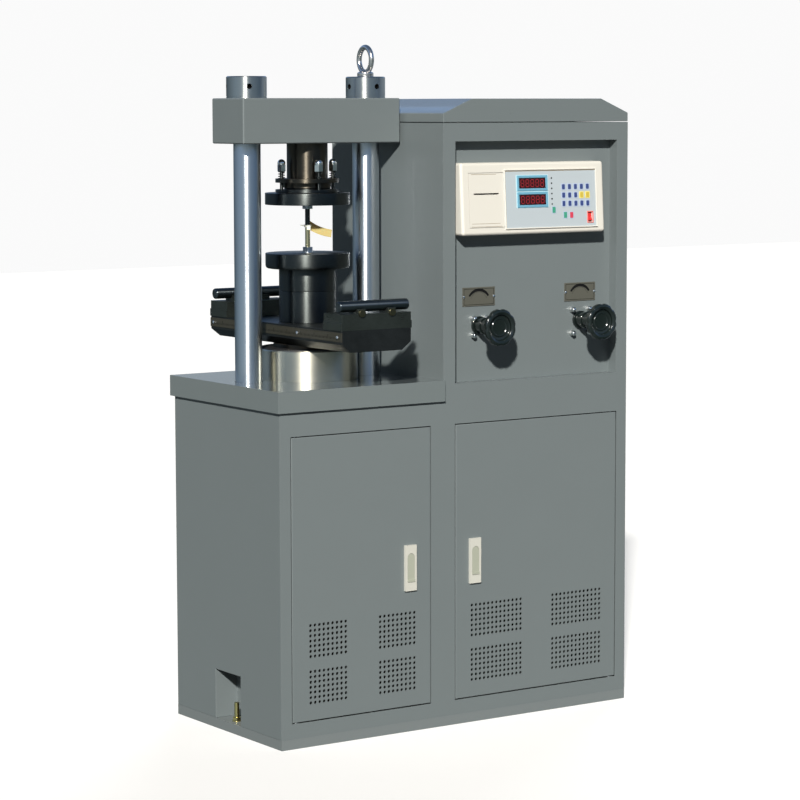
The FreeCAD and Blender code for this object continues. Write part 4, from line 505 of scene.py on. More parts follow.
def cad_copy(node, wanted=None):
    """Merged copy of a CAD node's mesh, or of its closed shells whose box passes the test."""
    bm = bmesh.new()
    bm.from_mesh(frame["nodes"][node].data)
    bmesh.ops.remove_doubles(bm, verts=bm.verts, dist=1e-6)
    left = set(bm.verts) if wanted else set()
    spare = []
    while left:
        shell = shell_of(next(iter(left)))
        left -= shell
        low = Vector([min(vertex.co[axis] for vertex in shell) for axis in range(3)])
        high = Vector([max(vertex.co[axis] for vertex in shell) for axis in range(3)])
        if not wanted(low, high):
            spare.extend(shell)
    bmesh.ops.delete(bm, geom=spare, context="VERTS")
    bmesh.ops.dissolve_limit(bm, angle_limit=math.radians(0.5), verts=bm.verts, edges=bm.edges)
    return plain_mesh(bm, f"{node}_copy")


def dressed(node, finish, width=0.0008, name=None, angle=35, wanted=None, replace=True):
    """Merged and bevelled copy of a CAD node, which it replaces."""
    mesh = bevelled(cad_copy(node, wanted), width, 2, angle)
    nodes = (node,) if replace else ()
    return finished(name or f"{node}_dressed", mesh, finish, BODY_OF[node], nodes, None)


def rounded(profile, steps=4):
    """Profile of (radius, height, corner) points with each corner turned into an arc."""
    points = []
    last = len(profile) - 1
    for index, (r, h, corner) in enumerate(profile):
        here = Vector((r, h))
        if corner <= 0 or index in (0, last):
            points.append(here)
            continue
        before = Vector(profile[index - 1][:2])
        after = Vector(profile[index + 1][:2])
        inward = (before - here).normalized()
        outward = (after - here).normalized()
        turn = inward.angle(outward)
        shorter = min((before - here).length, (after - here).length)
        reach = min(corner / math.tan(turn / 2), 0.45 * shorter)
        start = here + inward * reach
        end = here + outward * reach
        for step in range(steps + 1):
            t = step / steps
            points.append(start * (1 - t) ** 2 + here * 2 * t * (1 - t) + end * t ** 2)
    return points


def spun(profile, centre, axis="z", segments=96, closed=False):
    """Surface of revolution: profile of radius and height along the axis from the centre."""
    points = rounded(profile)
    turn = {
        "z": Matrix.Identity(3), "x": Matrix(((0, 0, 1), (1, 0, 0), (0, 1, 0))),
        "-y": Matrix(((1, 0, 0), (0, 0, -1), (0, 1, 0))),
    }[axis]
    bm = bmesh.new()
    rings = []
    for point in points:
        radius, height = point
        if radius < 1e-7:
            rings.append([bm.verts.new(Vector(centre) + turn @ Vector((0, 0, height)))])
            continue
        ring = []
        for index in range(segments):
            angle = 2 * math.pi * index / segments
            local = Vector((radius * math.cos(angle), radius * math.sin(angle), height))
            ring.append(bm.verts.new(Vector(centre) + turn @ local))
        rings.append(ring)
    pairs = list(zip(rings, rings[1:]))
    if closed:
        pairs.append((rings[-1], rings[0]))
    for low, high in pairs:
        for index in range(segments):
            after = (index + 1) % segments
            if len(low) == 1 and len(high) == 1:
                continue
            if len(low) == 1:
                bm.faces.new((low[0], high[after], high[index]))
            elif len(high) == 1:
                bm.faces.new((low[index], low[after], high[0]))
            else:
                bm.faces.new((low[index], low[after], high[after], high[index]))
    return bm


def turned(name, profile, centre, finish, node, axis="z", segments=96, closed=False, replace=True):
    mesh = mesh_of(spun(profile, centre, axis, segments, closed), name)
    nodes = (node,) if replace else ()
    return finished(name, mesh, finish, BODY_OF[node], nodes)


def block(low, high):
    """Box between two corners."""
    bm = bmesh.new()
    bmesh.ops.create_cube(bm, size=1)
    for vertex in bm.verts:
        for axis in range(3):
            vertex.co[axis] = (low[axis] + high[axis]) / 2 + vertex.co[axis] * (high[axis] - low[axis])
    return bm


def middle(node):
    low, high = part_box(node)
    return (low + high) / 2


# Geometry node trees for what repeats

def tree_socket(tree, label, kind, value=None):
    socket = tree.interface.new_socket(label, in_out="INPUT", socket_type=kind)
    if value is not None:
        socket.default_value = value
    return socket.identifier


def grid_tree():
    """Copies of one stamp on a grid in the XZ plane."""
    tree = bpy.data.node_groups.new("stamp_grid", "GeometryNodeTree")
    tree.interface.new_socket("Geometry", in_out="OUTPUT", socket_type="NodeSocketGeometry")
    sockets = {
        "Stamp": tree_socket(tree, "Stamp", "NodeSocketObject"),
        "Columns": tree_socket(tree, "Columns", "NodeSocketInt", 3),
        "Rows": tree_socket(tree, "Rows", "NodeSocketInt", 3),
        "Width": tree_socket(tree, "Width", "NodeSocketFloat", 0.1),
        "Height": tree_socket(tree, "Height", "NodeSocketFloat", 0.1),
        "Centre": tree_socket(tree, "Centre", "NodeSocketVector", (0, 0, 0)),
        "Turn": tree_socket(tree, "Turn", "NodeSocketVector", (math.pi / 2, 0, 0)),
        "Finish": tree_socket(tree, "Finish", "NodeSocketMaterial"),
    }
    given = tree.nodes.new("NodeGroupInput")
    result = tree.nodes.new("NodeGroupOutput")
    grid = tree.nodes.new("GeometryNodeMeshGrid")
    stamp = tree.nodes.new("GeometryNodeObjectInfo")
    stamp.transform_space = "ORIGINAL"
    copies = tree.nodes.new("GeometryNodeInstanceOnPoints")
    real = tree.nodes.new("GeometryNodeRealizeInstances")
    paint = tree.nodes.new("GeometryNodeSetMaterial")
    stand = tree.nodes.new("GeometryNodeTransform")
    links = tree.links
    links.new(given.outputs["Columns"], grid.inputs["Vertices X"])
    links.new(given.outputs["Rows"], grid.inputs["Vertices Y"])
    links.new(given.outputs["Width"], grid.inputs["Size X"])
    links.new(given.outputs["Height"], grid.inputs["Size Y"])
    links.new(given.outputs["Stamp"], stamp.inputs["Object"])
    links.new(grid.outputs["Mesh"], copies.inputs["Points"])
    links.new(stamp.outputs["Geometry"], copies.inputs["Instance"])
    links.new(copies.outputs["Instances"], stand.inputs["Geometry"])
    links.new(given.outputs["Turn"], stand.inputs["Rotation"])
    links.new(given.outputs["Centre"], stand.inputs["Translation"])
    links.new(stand.outputs["Geometry"], real.inputs["Geometry"])
    links.new(real.outputs["Geometry"], paint.inputs["Geometry"])
    links.new(given.outputs["Finish"], paint.inputs["Material"])
    links.new(paint.outputs["Geometry"], result.inputs["Geometry"])
    return tree, sockets


GRID_TREE, GRID_SOCKETS = grid_tree()


def grown(tree, sockets, values):
    """Mesh that a node tree makes from its named inputs."""
    base = bpy.data.objects.new("tree_base", bpy.data.meshes.new("tree_base"))
    bpy.context.scene.collection.objects.link(base)
    modifier = base.modifiers.new("tree", "NODES")
    modifier.node_group = tree
    for label, value in values.items():
        modifier[sockets[label]] = value
    return baked(base)


def stamped(stamp, columns, rows, width, height, centre, finish, lean=0.0, yaw=0.0):
    """Mesh of a grid of stamps, upright in the XZ plane, leaning back and turned about Z."""
    holder = bpy.data.objects.new("stamp", stamp)
    bpy.context.scene.collection.objects.link(holder)
    values = {
        "Stamp": holder, "Columns": columns, "Rows": rows, "Width": width, "Height": height,
        "Centre": Vector(centre), "Turn": Vector((math.pi / 2 - lean, 0, yaw)),
        "Finish": FINISHES[finish],
    }
    mesh = grown(GRID_TREE, GRID_SOCKETS, values)
    bpy.data.objects.remove(holder)
    return mesh


def merged(meshes, name):
    bm = bmesh.new()
    for mesh in meshes:
        bm.from_mesh(mesh)
    bmesh.ops.remove_doubles(bm, verts=bm.verts, dist=1e-5)
    return plain_mesh(bm, name)


# Doors with perforated vents

VENT_PITCH = 10.23 * MM
VENT_RADIUS = 3.2 * MM
VENT_ROWS = 7
VENT_LEVELS = (0.20965, 0.11795)
SHEET = 2 * MM
PAD_LIP = 1.5 * MM
PAD_BACK = 5 * MM
GAP_SHADE = 0.3 * MM
LOCK_HOLE = (11.2 * MM, 31.2 * MM)
TOUCH = 0.01 * MM
DOOR_VENTS = {"left": (9, (-0.3165, -0.1532)), "right": (13, (0.0907, 0.29575))}


def vent_cell():
    """Square of door skin with one round hole through it, in the XY plane."""
    bm = bmesh.new()
    half = VENT_PITCH / 2
    sides = 16
    loops = []
    for depth in (0.0, -SHEET):
        outer = []
        inner = []
        for index in range(sides):
            angle = 2 * math.pi * (index + 0.5) / sides
            across, up = math.cos(angle), math.sin(angle)
            reach = half / max(abs(across), abs(up))
            if index % 4 in (1, 2):
                across, up = math.copysign(1, across), math.copysign(1, up)
                corner = (index % 4 == 1) == (index // 4 % 2 == 0)
                reach = half
            outer.append(bm.verts.new((across * reach, up * reach, depth)))
            inner.append(bm.verts.new((
                VENT_RADIUS * math.cos(angle), VENT_RADIUS * math.sin(angle), depth,
            )))
        loops.append((outer, inner))
    (front_out, front_in), (back_out, back_in) = loops
    for index in range(sides):
        after = (index + 1) % sides
        bm.faces.new((front_out[index], front_out[after], front_in[after], front_in[index]))
        bm.faces.new((back_out[after], back_out[index], back_in[index], back_in[after]))
        bm.faces.new((front_in[index], front_in[after], back_in[after], back_in[index]))
    bmesh.ops.remove_doubles(bm, verts=bm.verts, dist=1e-6)
    bmesh.ops.recalc_face_normals(bm, faces=bm.faces)
    return plain_mesh(bm, "vent_cell")


def line_hole(bm, hole, front):
    """Walls of a hole left in both sheets of a door skin, facing into the hole."""
    left, right, bottom, top = hole
    edges = [
        edge for edge in bm.edges if len(edge.link_faces) == 1 and all(
            left - TOUCH < vertex.co.x < right + TOUCH and bottom - TOUCH < vertex.co.z < top + TOUCH
            for vertex in edge.verts
        )
    ]
    centre = Vector(((left + right) / 2, front + SHEET / 2, (bottom + top) / 2))
    for face in bmesh.ops.bridge_loops(bm, edges=edges)["faces"]:
        face.normal_update()
        if face.normal.dot(centre - face.calc_center_median()) < 0:
            face.normal_flip()


def skin_with_windows(x_breaks, z_breaks, windows, lock_hole, front):
    """Front skin of a door as a grid of panels that leaves out the vent windows."""
    bm = bmesh.new()
    for x0, x1 in zip(x_breaks, x_breaks[1:]):
        for z0, z1 in zip(z_breaks, z_breaks[1:]):
            centre = ((x0 + x1) / 2, (z0 + z1) / 2)
            if any(w[0] < centre[0] < w[1] and w[2] < centre[1] < w[3] for w in (*windows, lock_hole)):
                continue
            for y, order in ((front, (0, 1, 2, 3)), (front + SHEET, (3, 2, 1, 0))):
                corners = [
                    bm.verts.new((x0, y, z0)), bm.verts.new((x1, y, z0)),
                    bm.verts.new((x1, y, z1)), bm.verts.new((x0, y, z1)),
                ]
                bm.faces.new([corners[index] for index in order])
    bmesh.ops.remove_doubles(bm, verts=bm.verts, dist=1e-6)
    line_hole(bm, lock_hole, front)
    return plain_mesh(bm, "door_skin")


def door_rim(low, high):
    """Folded edges of the pan, with a rounded fold at the front."""
    fold = 1.5 * MM
    steps = 4
    path = []
    for step in range(steps + 1):
        angle = math.pi / 2 * step / steps
        path.append((fold * (1 - math.sin(angle)), fold * (1 - math.cos(angle))))
    path += [(0.0, high.y - low.y), (SHEET, high.y - low.y), (SHEET, SHEET)]
    bm = bmesh.new()
    loops = []
    for inset, depth in path:
        y = low.y + depth
        loops.append([
            bm.verts.new((low.x + inset, y, low.z + inset)),
            bm.verts.new((high.x - inset, y, low.z + inset)),
            bm.verts.new((high.x - inset, y, high.z - inset)),
            bm.verts.new((low.x + inset, y, high.z - inset)),
        ])
    for outer, inner in zip(loops, loops[1:]):
        band(bm, outer, inner)
    bmesh.ops.recalc_face_normals(bm, faces=bm.faces)
    return plain_mesh(bm, "door_rim"), fold


def make_door(side):
    node = f"{side}_door"
    low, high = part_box(node)
    columns, centres = DOOR_VENTS[side]
    wide = columns * VENT_PITCH
    tall = VENT_ROWS * VENT_PITCH
    rim, fold = door_rim(low, high)
    windows = []
    vents = []
    cell = vent_cell()
    for x in centres:
        for z in VENT_LEVELS:
            windows.append((x - wide / 2, x + wide / 2, z - tall / 2, z + tall / 2))
            vents.append(stamped(
                cell, columns, VENT_ROWS, (columns - 1) * VENT_PITCH, (VENT_ROWS - 1) * VENT_PITCH,
                (x, low.y, z), "cabinet_paint",
            ))
    lock = middle(f"{side}_lock_body")
    across, up = LOCK_HOLE
    lock_hole = (lock.x - across, lock.x + across, lock.z - up, lock.z + up)
    x_breaks = sorted({low.x + fold, high.x - fold} | {v for w in (*windows, lock_hole) for v in w[:2]})
    z_breaks = sorted({low.z + fold, high.z - fold} | {v for w in (*windows, lock_hole) for v in w[2:]})
    skin = skin_with_windows(x_breaks, z_breaks, windows, lock_hole, low.y)
    mesh = merged([rim, skin, *vents], node)
    finished(f"{side}_door_panel", mesh, "cabinet_paint", node, (node,), 30)
    # Near-black pads just behind the vent windows: painted shade that darkens the holes.
    pads = []
    for left, right, bottom, top in windows:
        pad = block(
            (left - PAD_LIP, low.y + SHEET, bottom - PAD_LIP),
            (right + PAD_LIP, low.y + PAD_BACK, top + PAD_LIP),
        )
        pads.append(mesh_of(pad, "pad"))
    finished(f"{side}_filter_pads", merged(pads, "vent_shade_pads"), "shade_black", node)
    # Thin near-black frame standing in the gap round the door: painted shade for the dark door gap.
    seal = frame_mesh(high.x - low.x + 2 * GAP_SHADE, high.z - low.z + 2 * GAP_SHADE, GAP_SHADE, high.y - low.y - 2 * MM)
    seal = stamped(seal, 1, 1, 0, 0, ((low.x + high.x) / 2, high.y, (low.z + high.z) / 2), "shade_black")
    finished(f"{side}_door_seal", seal, "shade_black", node)


# Load frame

LOAD_X = middle("piston").x
COLUMN_X = (LOAD_X - 0.14, LOAD_X + 0.14)


def make_columns():
    low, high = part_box("columns")
    bottom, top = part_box("base_beam")[1].z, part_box("crosshead")[0].z
    meshes = []
    for x in COLUMN_X:
        profile = [
            (0, low.z, 0), (0.022, low.z, 0.001), (0.022, bottom, 0), (0.027, bottom, 0.0005),
            (0.027, top, 0.0005), (0.022, top, 0), (0.022, high.z, 0.001), (0, high.z, 0),
        ]
        meshes.append(mesh_of(spun(profile, (x, 0, 0)), "column"))
    finished(
        "column_pair", merged(meshes, "column_pair"), "polished_steel", "root", ("columns",),
    )


def ring_seal(name, x, inner, outer, level, height, finish="seal_black_and_shade", body="root"):
    profile = [
        (inner, 0, 0.0004), (outer, 0, 0.0006), (outer, height, 0.0008), (inner, height, 0.0004),
        (inner, 0, 0.0004),
    ]
    mesh = mesh_of(spun(profile[:-1], (x, 0, level), closed=True), name)
    return finished(name, mesh, finish, body)


def make_ram():
    dressed("cylinder", "cylinder_steel", 0.0015)
    # The piston takes the dark stem finish as painted shade: it stands in the beam's shadow.
    dressed("piston", "stem_steel_and_piston_shade", 0.0006)
    # Wide near-black ring on the cylinder's top: a wiper, widened as painted shade under the beam.
    ring_seal("ram_wiper", LOAD_X, 0.0702, 0.096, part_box("cylinder")[1].z, 0.0025)


def make_platens():
    low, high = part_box("lower_platen")
    face = high.z
    base = face - 0.0305
    profile = [
        (0, base - low.z - 0.006, 0), (0.02, base - low.z - 0.006, 0), (0.02, base - low.z, 0),
        (0.085, base - low.z, 0.007), (0.085, face - low.z, 0.0012), (0.0052, face - low.z, 0),
        (0.0052, face - low.z - 0.017, 0), (0, face - low.z - 0.017, 0),
    ]
    turned("lower_platen_disc", profile, (LOAD_X, 0, low.z), "blackened_steel", "lower_platen", segments=128)

    meshes = []
    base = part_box("bending_beam")[1].z
    for height in (0.063, 0.0445):
        profile = [
            (0, -0.006, 0), (0.02, -0.006, 0), (0.02, 0, 0), (0.058, 0, 0.0012),
            (0.058, height, 0.0012), (0.0201, height, 0), (0.0201, height - 0.0062, 0),
            (0, height - 0.0062, 0),
        ]
        meshes.append(mesh_of(spun(profile, (LOAD_X, 0, base)), "spacer"))
        base += height
    finished(
        "spacer_discs", merged(meshes, "spacer_discs"), "blackened_steel", "ram", ("spacers",),
    )


def torus(centre, axis, radius, section, turns=96, sides=28):
    """Ring of round section about an axis."""
    axis = Vector(axis).normalized()
    across = axis.orthogonal().normalized()
    up = axis.cross(across)
    bm = bmesh.new()
    rows = []
    for turn in range(turns):
        angle = 2 * math.pi * turn / turns
        out = across * math.cos(angle) + up * math.sin(angle)
        row = []
        for side in range(sides):
            lean = 2 * math.pi * side / sides
            row.append(bm.verts.new(
                Vector(centre) + out * (radius + section * math.cos(lean)) + axis * section * math.sin(lean)
            ))
        rows.append(row)
    for first, second in zip(rows, rows[1:] + rows[:1]):
        for side in range(sides):
            after = (side + 1) % sides
            bm.faces.new((first[side], second[side], second[after], first[after]))
    return mesh_of(bm, "torus")


EYE_RADIUS = 25.1 * MM
EYE_SECTION = 5.4 * MM
EYE_TURN = math.radians(-94)


def make_nuts():
    """Column nuts, with painted shade: the walls of their spanner holes take the near-black finish."""
    piece = dressed("column_nuts", "nut_steel", 0.0005)
    piece.data.materials.append(FINISHES["shade_black"])
    low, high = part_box("column_nuts")
    outer = (high.y - low.y) / 2
    for face in piece.data.polygons:
        reach = min(Vector((face.center.x - x, face.center.y)).length for x in COLUMN_X)
        if abs(face.normal.z) < 0.5 and 0.024 < reach < outer - 0.0015:
            face.material_index = 1


def make_eye():
    """Lifting eye: ring, neck and round collar on the right column's nut."""
    low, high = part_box("lifting_eye")
    x = COLUMN_X[1]
    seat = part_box("column_nuts")[1].z
    middle_z = high.z - EYE_RADIUS - EYE_SECTION
    axis = Matrix.Rotation(EYE_TURN, 3, "Z") @ Vector((0, 1, 0))
    ring = torus((x, 0, middle_z), axis, EYE_RADIUS, EYE_SECTION)
    collar = [
        (0, low.z - seat, 0), (0.008, low.z - seat, 0.001), (0.008, 0, 0), (0.0165, 0, 0.0012),
        (0.0165, 0.008, 0.0025), (0.0095, 0.0112, 0.002), (0.0062, 0.0145, 0.001), (0, 0.0145, 0),
    ]
    stem = mesh_of(spun(collar, (x, 0, seat), segments=64), "eye_stem")
    finished(
        "lifting_ring", merged([ring, stem], "lifting_ring"), "eye_steel", "root",
        ("lifting_eye",), 50,
    )


STUD_CIRCLE = 56 * MM
STUD_TURN = math.radians(-8.5)
STUD_REACH = 4.3 * MM
ROD_SHARE = 0.84
STUD_SPOTS = [
    Vector((
        LOAD_X + STUD_CIRCLE * math.cos(STUD_TURN + quarter * math.pi / 2),
        STUD_CIRCLE * math.sin(STUD_TURN + quarter * math.pi / 2),
    )) for quarter in range(4)
]


def make_seat():
    """Upper platen, its socket and ring, the sprung studs and their acorn nuts."""
    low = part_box("upper_platen")[0]
    thick = 0.0235
    profile = [
        (0.008, 0.02, 0), (0.008, 0, 0.0006), (0.085, 0, 0.0012), (0.085, thick, 0.0012),
        (0.048, thick, 0.0005), (0.048, thick + 0.0065, 0), (0.0425, 0.0374, 0), (0.03, 0.048, 0),
        (0.008, 0.056, 0),
    ]
    mesh = mesh_of(spun(profile, (LOAD_X, 0, low.z), segments=128, closed=True), "upper_platen_disc")
    finished(
        "upper_platen_disc", mesh, "blackened_steel", BODY_OF["upper_platen"],
        ("upper_platen",),
    )
    dressed("ball_seat", "stem_steel_and_piston_shade", 0.0006)
    dressed("retaining_ring", "blackened_steel", 0.0004)
    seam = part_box("seat_springs")[1].z - 0.001
    dressed(
        "seat_studs", "acorn_chrome", 0.0005, "acorn_nuts", 50, wanted=lambda low, high: low.z > seam,
    )
    rods = dressed(
        "seat_studs", "blackened_steel", 0.0003, "seat_stud_rods", wanted=lambda low, high: low.z < seam,
        replace=False,
    )
    for vertex in rods.data.vertices:
        for spot in STUD_SPOTS:
            across = vertex.co.xy - spot
            if across.length < STUD_REACH:
                vertex.co.xy = spot + across * ROD_SHARE
    dressed("transit_top_nut", "polished_steel", 0.0006)


SPRING_WIRE = 0.75 * MM
SPRING_RADIUS = 6.25 * MM
SPRING_PLAY = 0.45 * MM
SPRING_TURNS = 4


def helix(centre, radius, height, turns, wire):
    """Compression spring with a flat turn at each end."""
    curve = bpy.data.curves.new("coil", "CURVE")
    curve.dimensions = "3D"
    curve.bevel_depth = wire
    curve.bevel_resolution = 3
    curve.use_fill_caps = True
    steps = 32 * turns
    line = curve.splines.new("POLY")
    line.points.add(steps)
    for index, point in enumerate(line.points):
        t = index / steps
        angle = 2 * math.pi * turns * t
        climb = min(max((t * turns - 0.6) / (turns - 1.2), 0), 1)
        point.co = (
            centre.x + radius * math.cos(angle), centre.y + radius * math.sin(angle),
            centre.z + wire + (height - 2 * wire) * climb, 1,
        )
    return baked_curve(curve)


def baked_curve(curve):
    piece = bpy.data.objects.new("curve_blank", curve)
    bpy.context.scene.collection.objects.link(piece)
    return baked(piece)


def make_springs():
    """Springs on the four studs, in two pairs with their play left at opposite ends."""
    low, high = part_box("seat_springs")
    for name, first, lower, upper in (
        ("seat_coils_side", 0, "seat_springs", "upper_platen"),
        ("seat_coils_front", 1, "root", "seat_springs"),
    ):
        foot = low.z + (0.05 * MM if lower == "root" else SPRING_PLAY)
        head = high.z - (SPRING_PLAY if lower == "root" else 0.05 * MM)
        coils = [
            helix(Vector((*spot, foot)), SPRING_RADIUS, head - foot, SPRING_TURNS, SPRING_WIRE)
            for spot in STUD_SPOTS[first::2]
        ]
        coil = finished(
            name, merged(coils, name), "blackened_steel", None, ("seat_springs",), 60,
        )
        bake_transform(coil)


def make_transit():
    """Threaded rod: plated below the tie and black above it, the black being the upper platen's painted shadow,
    with a polished foot nut.
    """
    low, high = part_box("transit_stud")
    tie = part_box("cable_tie")
    split = tie[1].z - 0.004
    lower = [(0, low.z, 0), (0.005, low.z, 0.0006), (0.005, split, 0), (0, split, 0)]
    upper = [(0, split, 0), (0.00498, split, 0), (0.00498, high.z, 0.0006), (0, high.z, 0)]
    turned("transit_rod_low", lower, (LOAD_X, 0, 0), "zinc_plate", "transit_stud", segments=48)
    # Above the tie the plated rod is painted black: painted shadow of the upper platen.
    turned(
        "transit_rod_high", upper, (LOAD_X, 0, 0), "blackened_steel", "transit_stud", segments=48,
        replace=False,
    )
    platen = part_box("lower_platen")[1].z
    dressed(
        "transit_stud", "polished_steel", 0.0006, "transit_foot_nut",
        wanted=lambda low, high: low.z > platen - 0.001, replace=False,
    )
    dressed("cable_tie", "white_nylon", 0.0004)
    dressed("tag_strap", "yellow_strap", 0.0002)


def make_bending_tools():
    dressed("bending_beam", "blackened_plate", 0.0012)
    for end in ("front", "rear"):
        dressed(
            f"{end}_cradle", "cradle_steel", 0.0011,
            wanted=lambda low, high: high.x - low.x > 0.1,
        )
        dressed(
            f"{end}_cradle", "screw_steel", 0.0008, f"{end}_cradle_screws",
            wanted=lambda low, high: high.x - low.x < 0.1, replace=False,
        )
        low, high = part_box(f"{end}_roller")
        radius = (high.y - low.y) / 2
        length = high.x - low.x
        profile = [(0, 0, 0), (radius, 0, 0.003), (radius, length, 0.003), (0, length, 0)]
        middle_y = (low.y + high.y) / 2
        turned(
            f"{end}_roller_bar", profile, (low.x, middle_y, (low.z + high.z) / 2), "roller_steel",
            f"{end}_roller", axis="x", segments=64,
        )
    dressed("scale_strip", "scale_metal", 0.0003)
    low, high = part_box("scale_strip")
    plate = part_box("bending_beam")[0].x - 1.5 * MM
    marks = []
    for count, pitch, tall, lift in ((97, 5 * MM, 4.2 * MM, 4.4 * MM), (9, 50 * MM, 7 * MM, 3.0 * MM)):
        tick = plain_mesh(block((-0.0006, -tall / 2, 0), (0.0006, tall / 2, 0.00012)), "tick")
        level = (low.z + high.z) / 2 - lift + tall / 2
        marks.append(stamped(
            tick, count, 1, (count - 1) * pitch, 0.0, (plate, 0, level), "mark_dark", yaw=-math.pi / 2,
        ))
    finished("scale_marks", merged(marks, "scale_marks"), "mark_dark", "ram")
    domes = []
    for y in (-0.235, -0.089, 0.089, 0.235):
        profile = [(0.0032, 0, 0), (0.0031, 0.0008, 0), (0.0022, 0.0018, 0), (0, 0.0022, 0)]
        bm = spun(profile, (0, 0, 0), "x", 24)
        bmesh.ops.scale(bm, vec=(-1, 1, 1), verts=bm.verts)
        bmesh.ops.translate(bm, vec=(plate - 0.0008, y, (low.z + high.z) / 2), verts=bm.verts)
        domes.append(mesh_of(bm, "strip_dome"))
    finished("strip_domes", merged(domes, "strip_domes"), "polished_steel", "ram")


# Controller

FACE_LOW = 0.988
FACE_LOW_Y = -0.217
FACE_SLOPE = 0.009 / 0.1445
LEAN = math.atan(FACE_SLOPE)
FACE_OUT = Vector((0, -math.cos(LEAN), math.sin(LEAN)))
FOIL = 0.8 * MM


def on_face(x, z, out=0.0):
    """Point of the sloping controller face at a height, a distance out of it."""
    return Vector((x, FACE_LOW_Y + (z - FACE_LOW) * FACE_SLOPE, z)) + FACE_OUT * out


def pill(width, height, thick, corner=0.0012, steps=4):
    """Rounded tile in the XY plane, its top at thick."""
    outline = []
    for across, up, first in ((1, 1, 0), (-1, 1, 90), (-1, -1, 180), (1, -1, 270)):
        for step in range(steps + 1):
            angle = math.radians(first + 90 * step / steps)
            outline.append((
                across * (width / 2 - corner) + corner * math.cos(angle),
                up * (height / 2 - corner) + corner * math.sin(angle),
            ))
    bm = bmesh.new()
    edge = 0.3 * thick
    rings = []
    for inset, level in ((0, 0), (0, thick - edge), (edge, thick)):
        rings.append([
            bm.verts.new((x * (1 - inset / (width / 2)), y * (1 - inset / (height / 2)), level))
            for x, y in outline
        ])
    for low, high in zip(rings, rings[1:]):
        band(bm, low, high)
    bm.faces.new(rings[-1])
    bm.faces.new(list(reversed(rings[0])))
    return plain_mesh(bm, "pill")


def on_controller(name, stamp, finish, x, z, out, columns=1, rows=1, pitch=(0, 0)):
    """Stamps laid on the sloping face, at rows and columns round a centre."""
    mesh = stamped(
        stamp, columns, rows, (columns - 1) * pitch[0], (rows - 1) * pitch[1], on_face(x, z, out),
        finish, lean=LEAN,
    )
    return finished(name, mesh, finish, "root")


def frame_mesh(width, height, rim, thick):
    """Rectangular frame in the XY plane with rounded edges."""
    bm = bmesh.new()
    edge = min(0.35 * thick, 0.3 * rim)
    rings = []
    for inset, level in (
        (0, 0), (0, thick - edge), (edge, thick), (rim - edge, thick), (rim, thick - edge), (rim, 0),
    ):
        half_x, half_y = width / 2 - inset, height / 2 - inset
        rings.append([
            bm.verts.new((across * half_x, up * half_y, level))
            for across, up in ((1, 1), (-1, 1), (-1, -1), (1, -1))
        ])
    for low, high in zip(rings, rings[1:] + rings[:1]):
        band(bm, low, high)
    return plain_mesh(bm, "frame")


def digit_mesh(width, height, bar):
    """The seven bars of one numeral, in the XY plane."""
    bm = bmesh.new()
    half_w, half_h = width / 2, height / 2
    gap = 0.25 * bar
    bars = [((-half_w, level), (half_w, level)) for level in (-half_h, 0.0, half_h)]
    for x in (-half_w, half_w):
        bars += [((x, -half_h), (x, 0.0)), ((x, 0.0), (x, half_h))]
    for (x0, y0), (x1, y1) in bars:
        along = Vector((x1 - x0, y1 - y0)).normalized()
        side = Vector((-along.y, along.x)) * bar / 2
        start = Vector((x0, y0)) + along * gap
        end = Vector((x1, y1)) - along * gap
        corners = [
            start, start + along * bar / 2 - side, end - along * bar / 2 - side, end,
            end - along * bar / 2 + side, start + along * bar / 2 + side,
        ]
        bm.faces.new([bm.verts.new((point.x, point.y, 0)) for point in corners])
    return plain_mesh(bm, "digit")


KEY = (12 * MM, 14 * MM)
KEY_PITCH = (15.4 * MM, 16.95 * MM)
KEYPAD = (281.3 * MM, 1064.4 * MM)


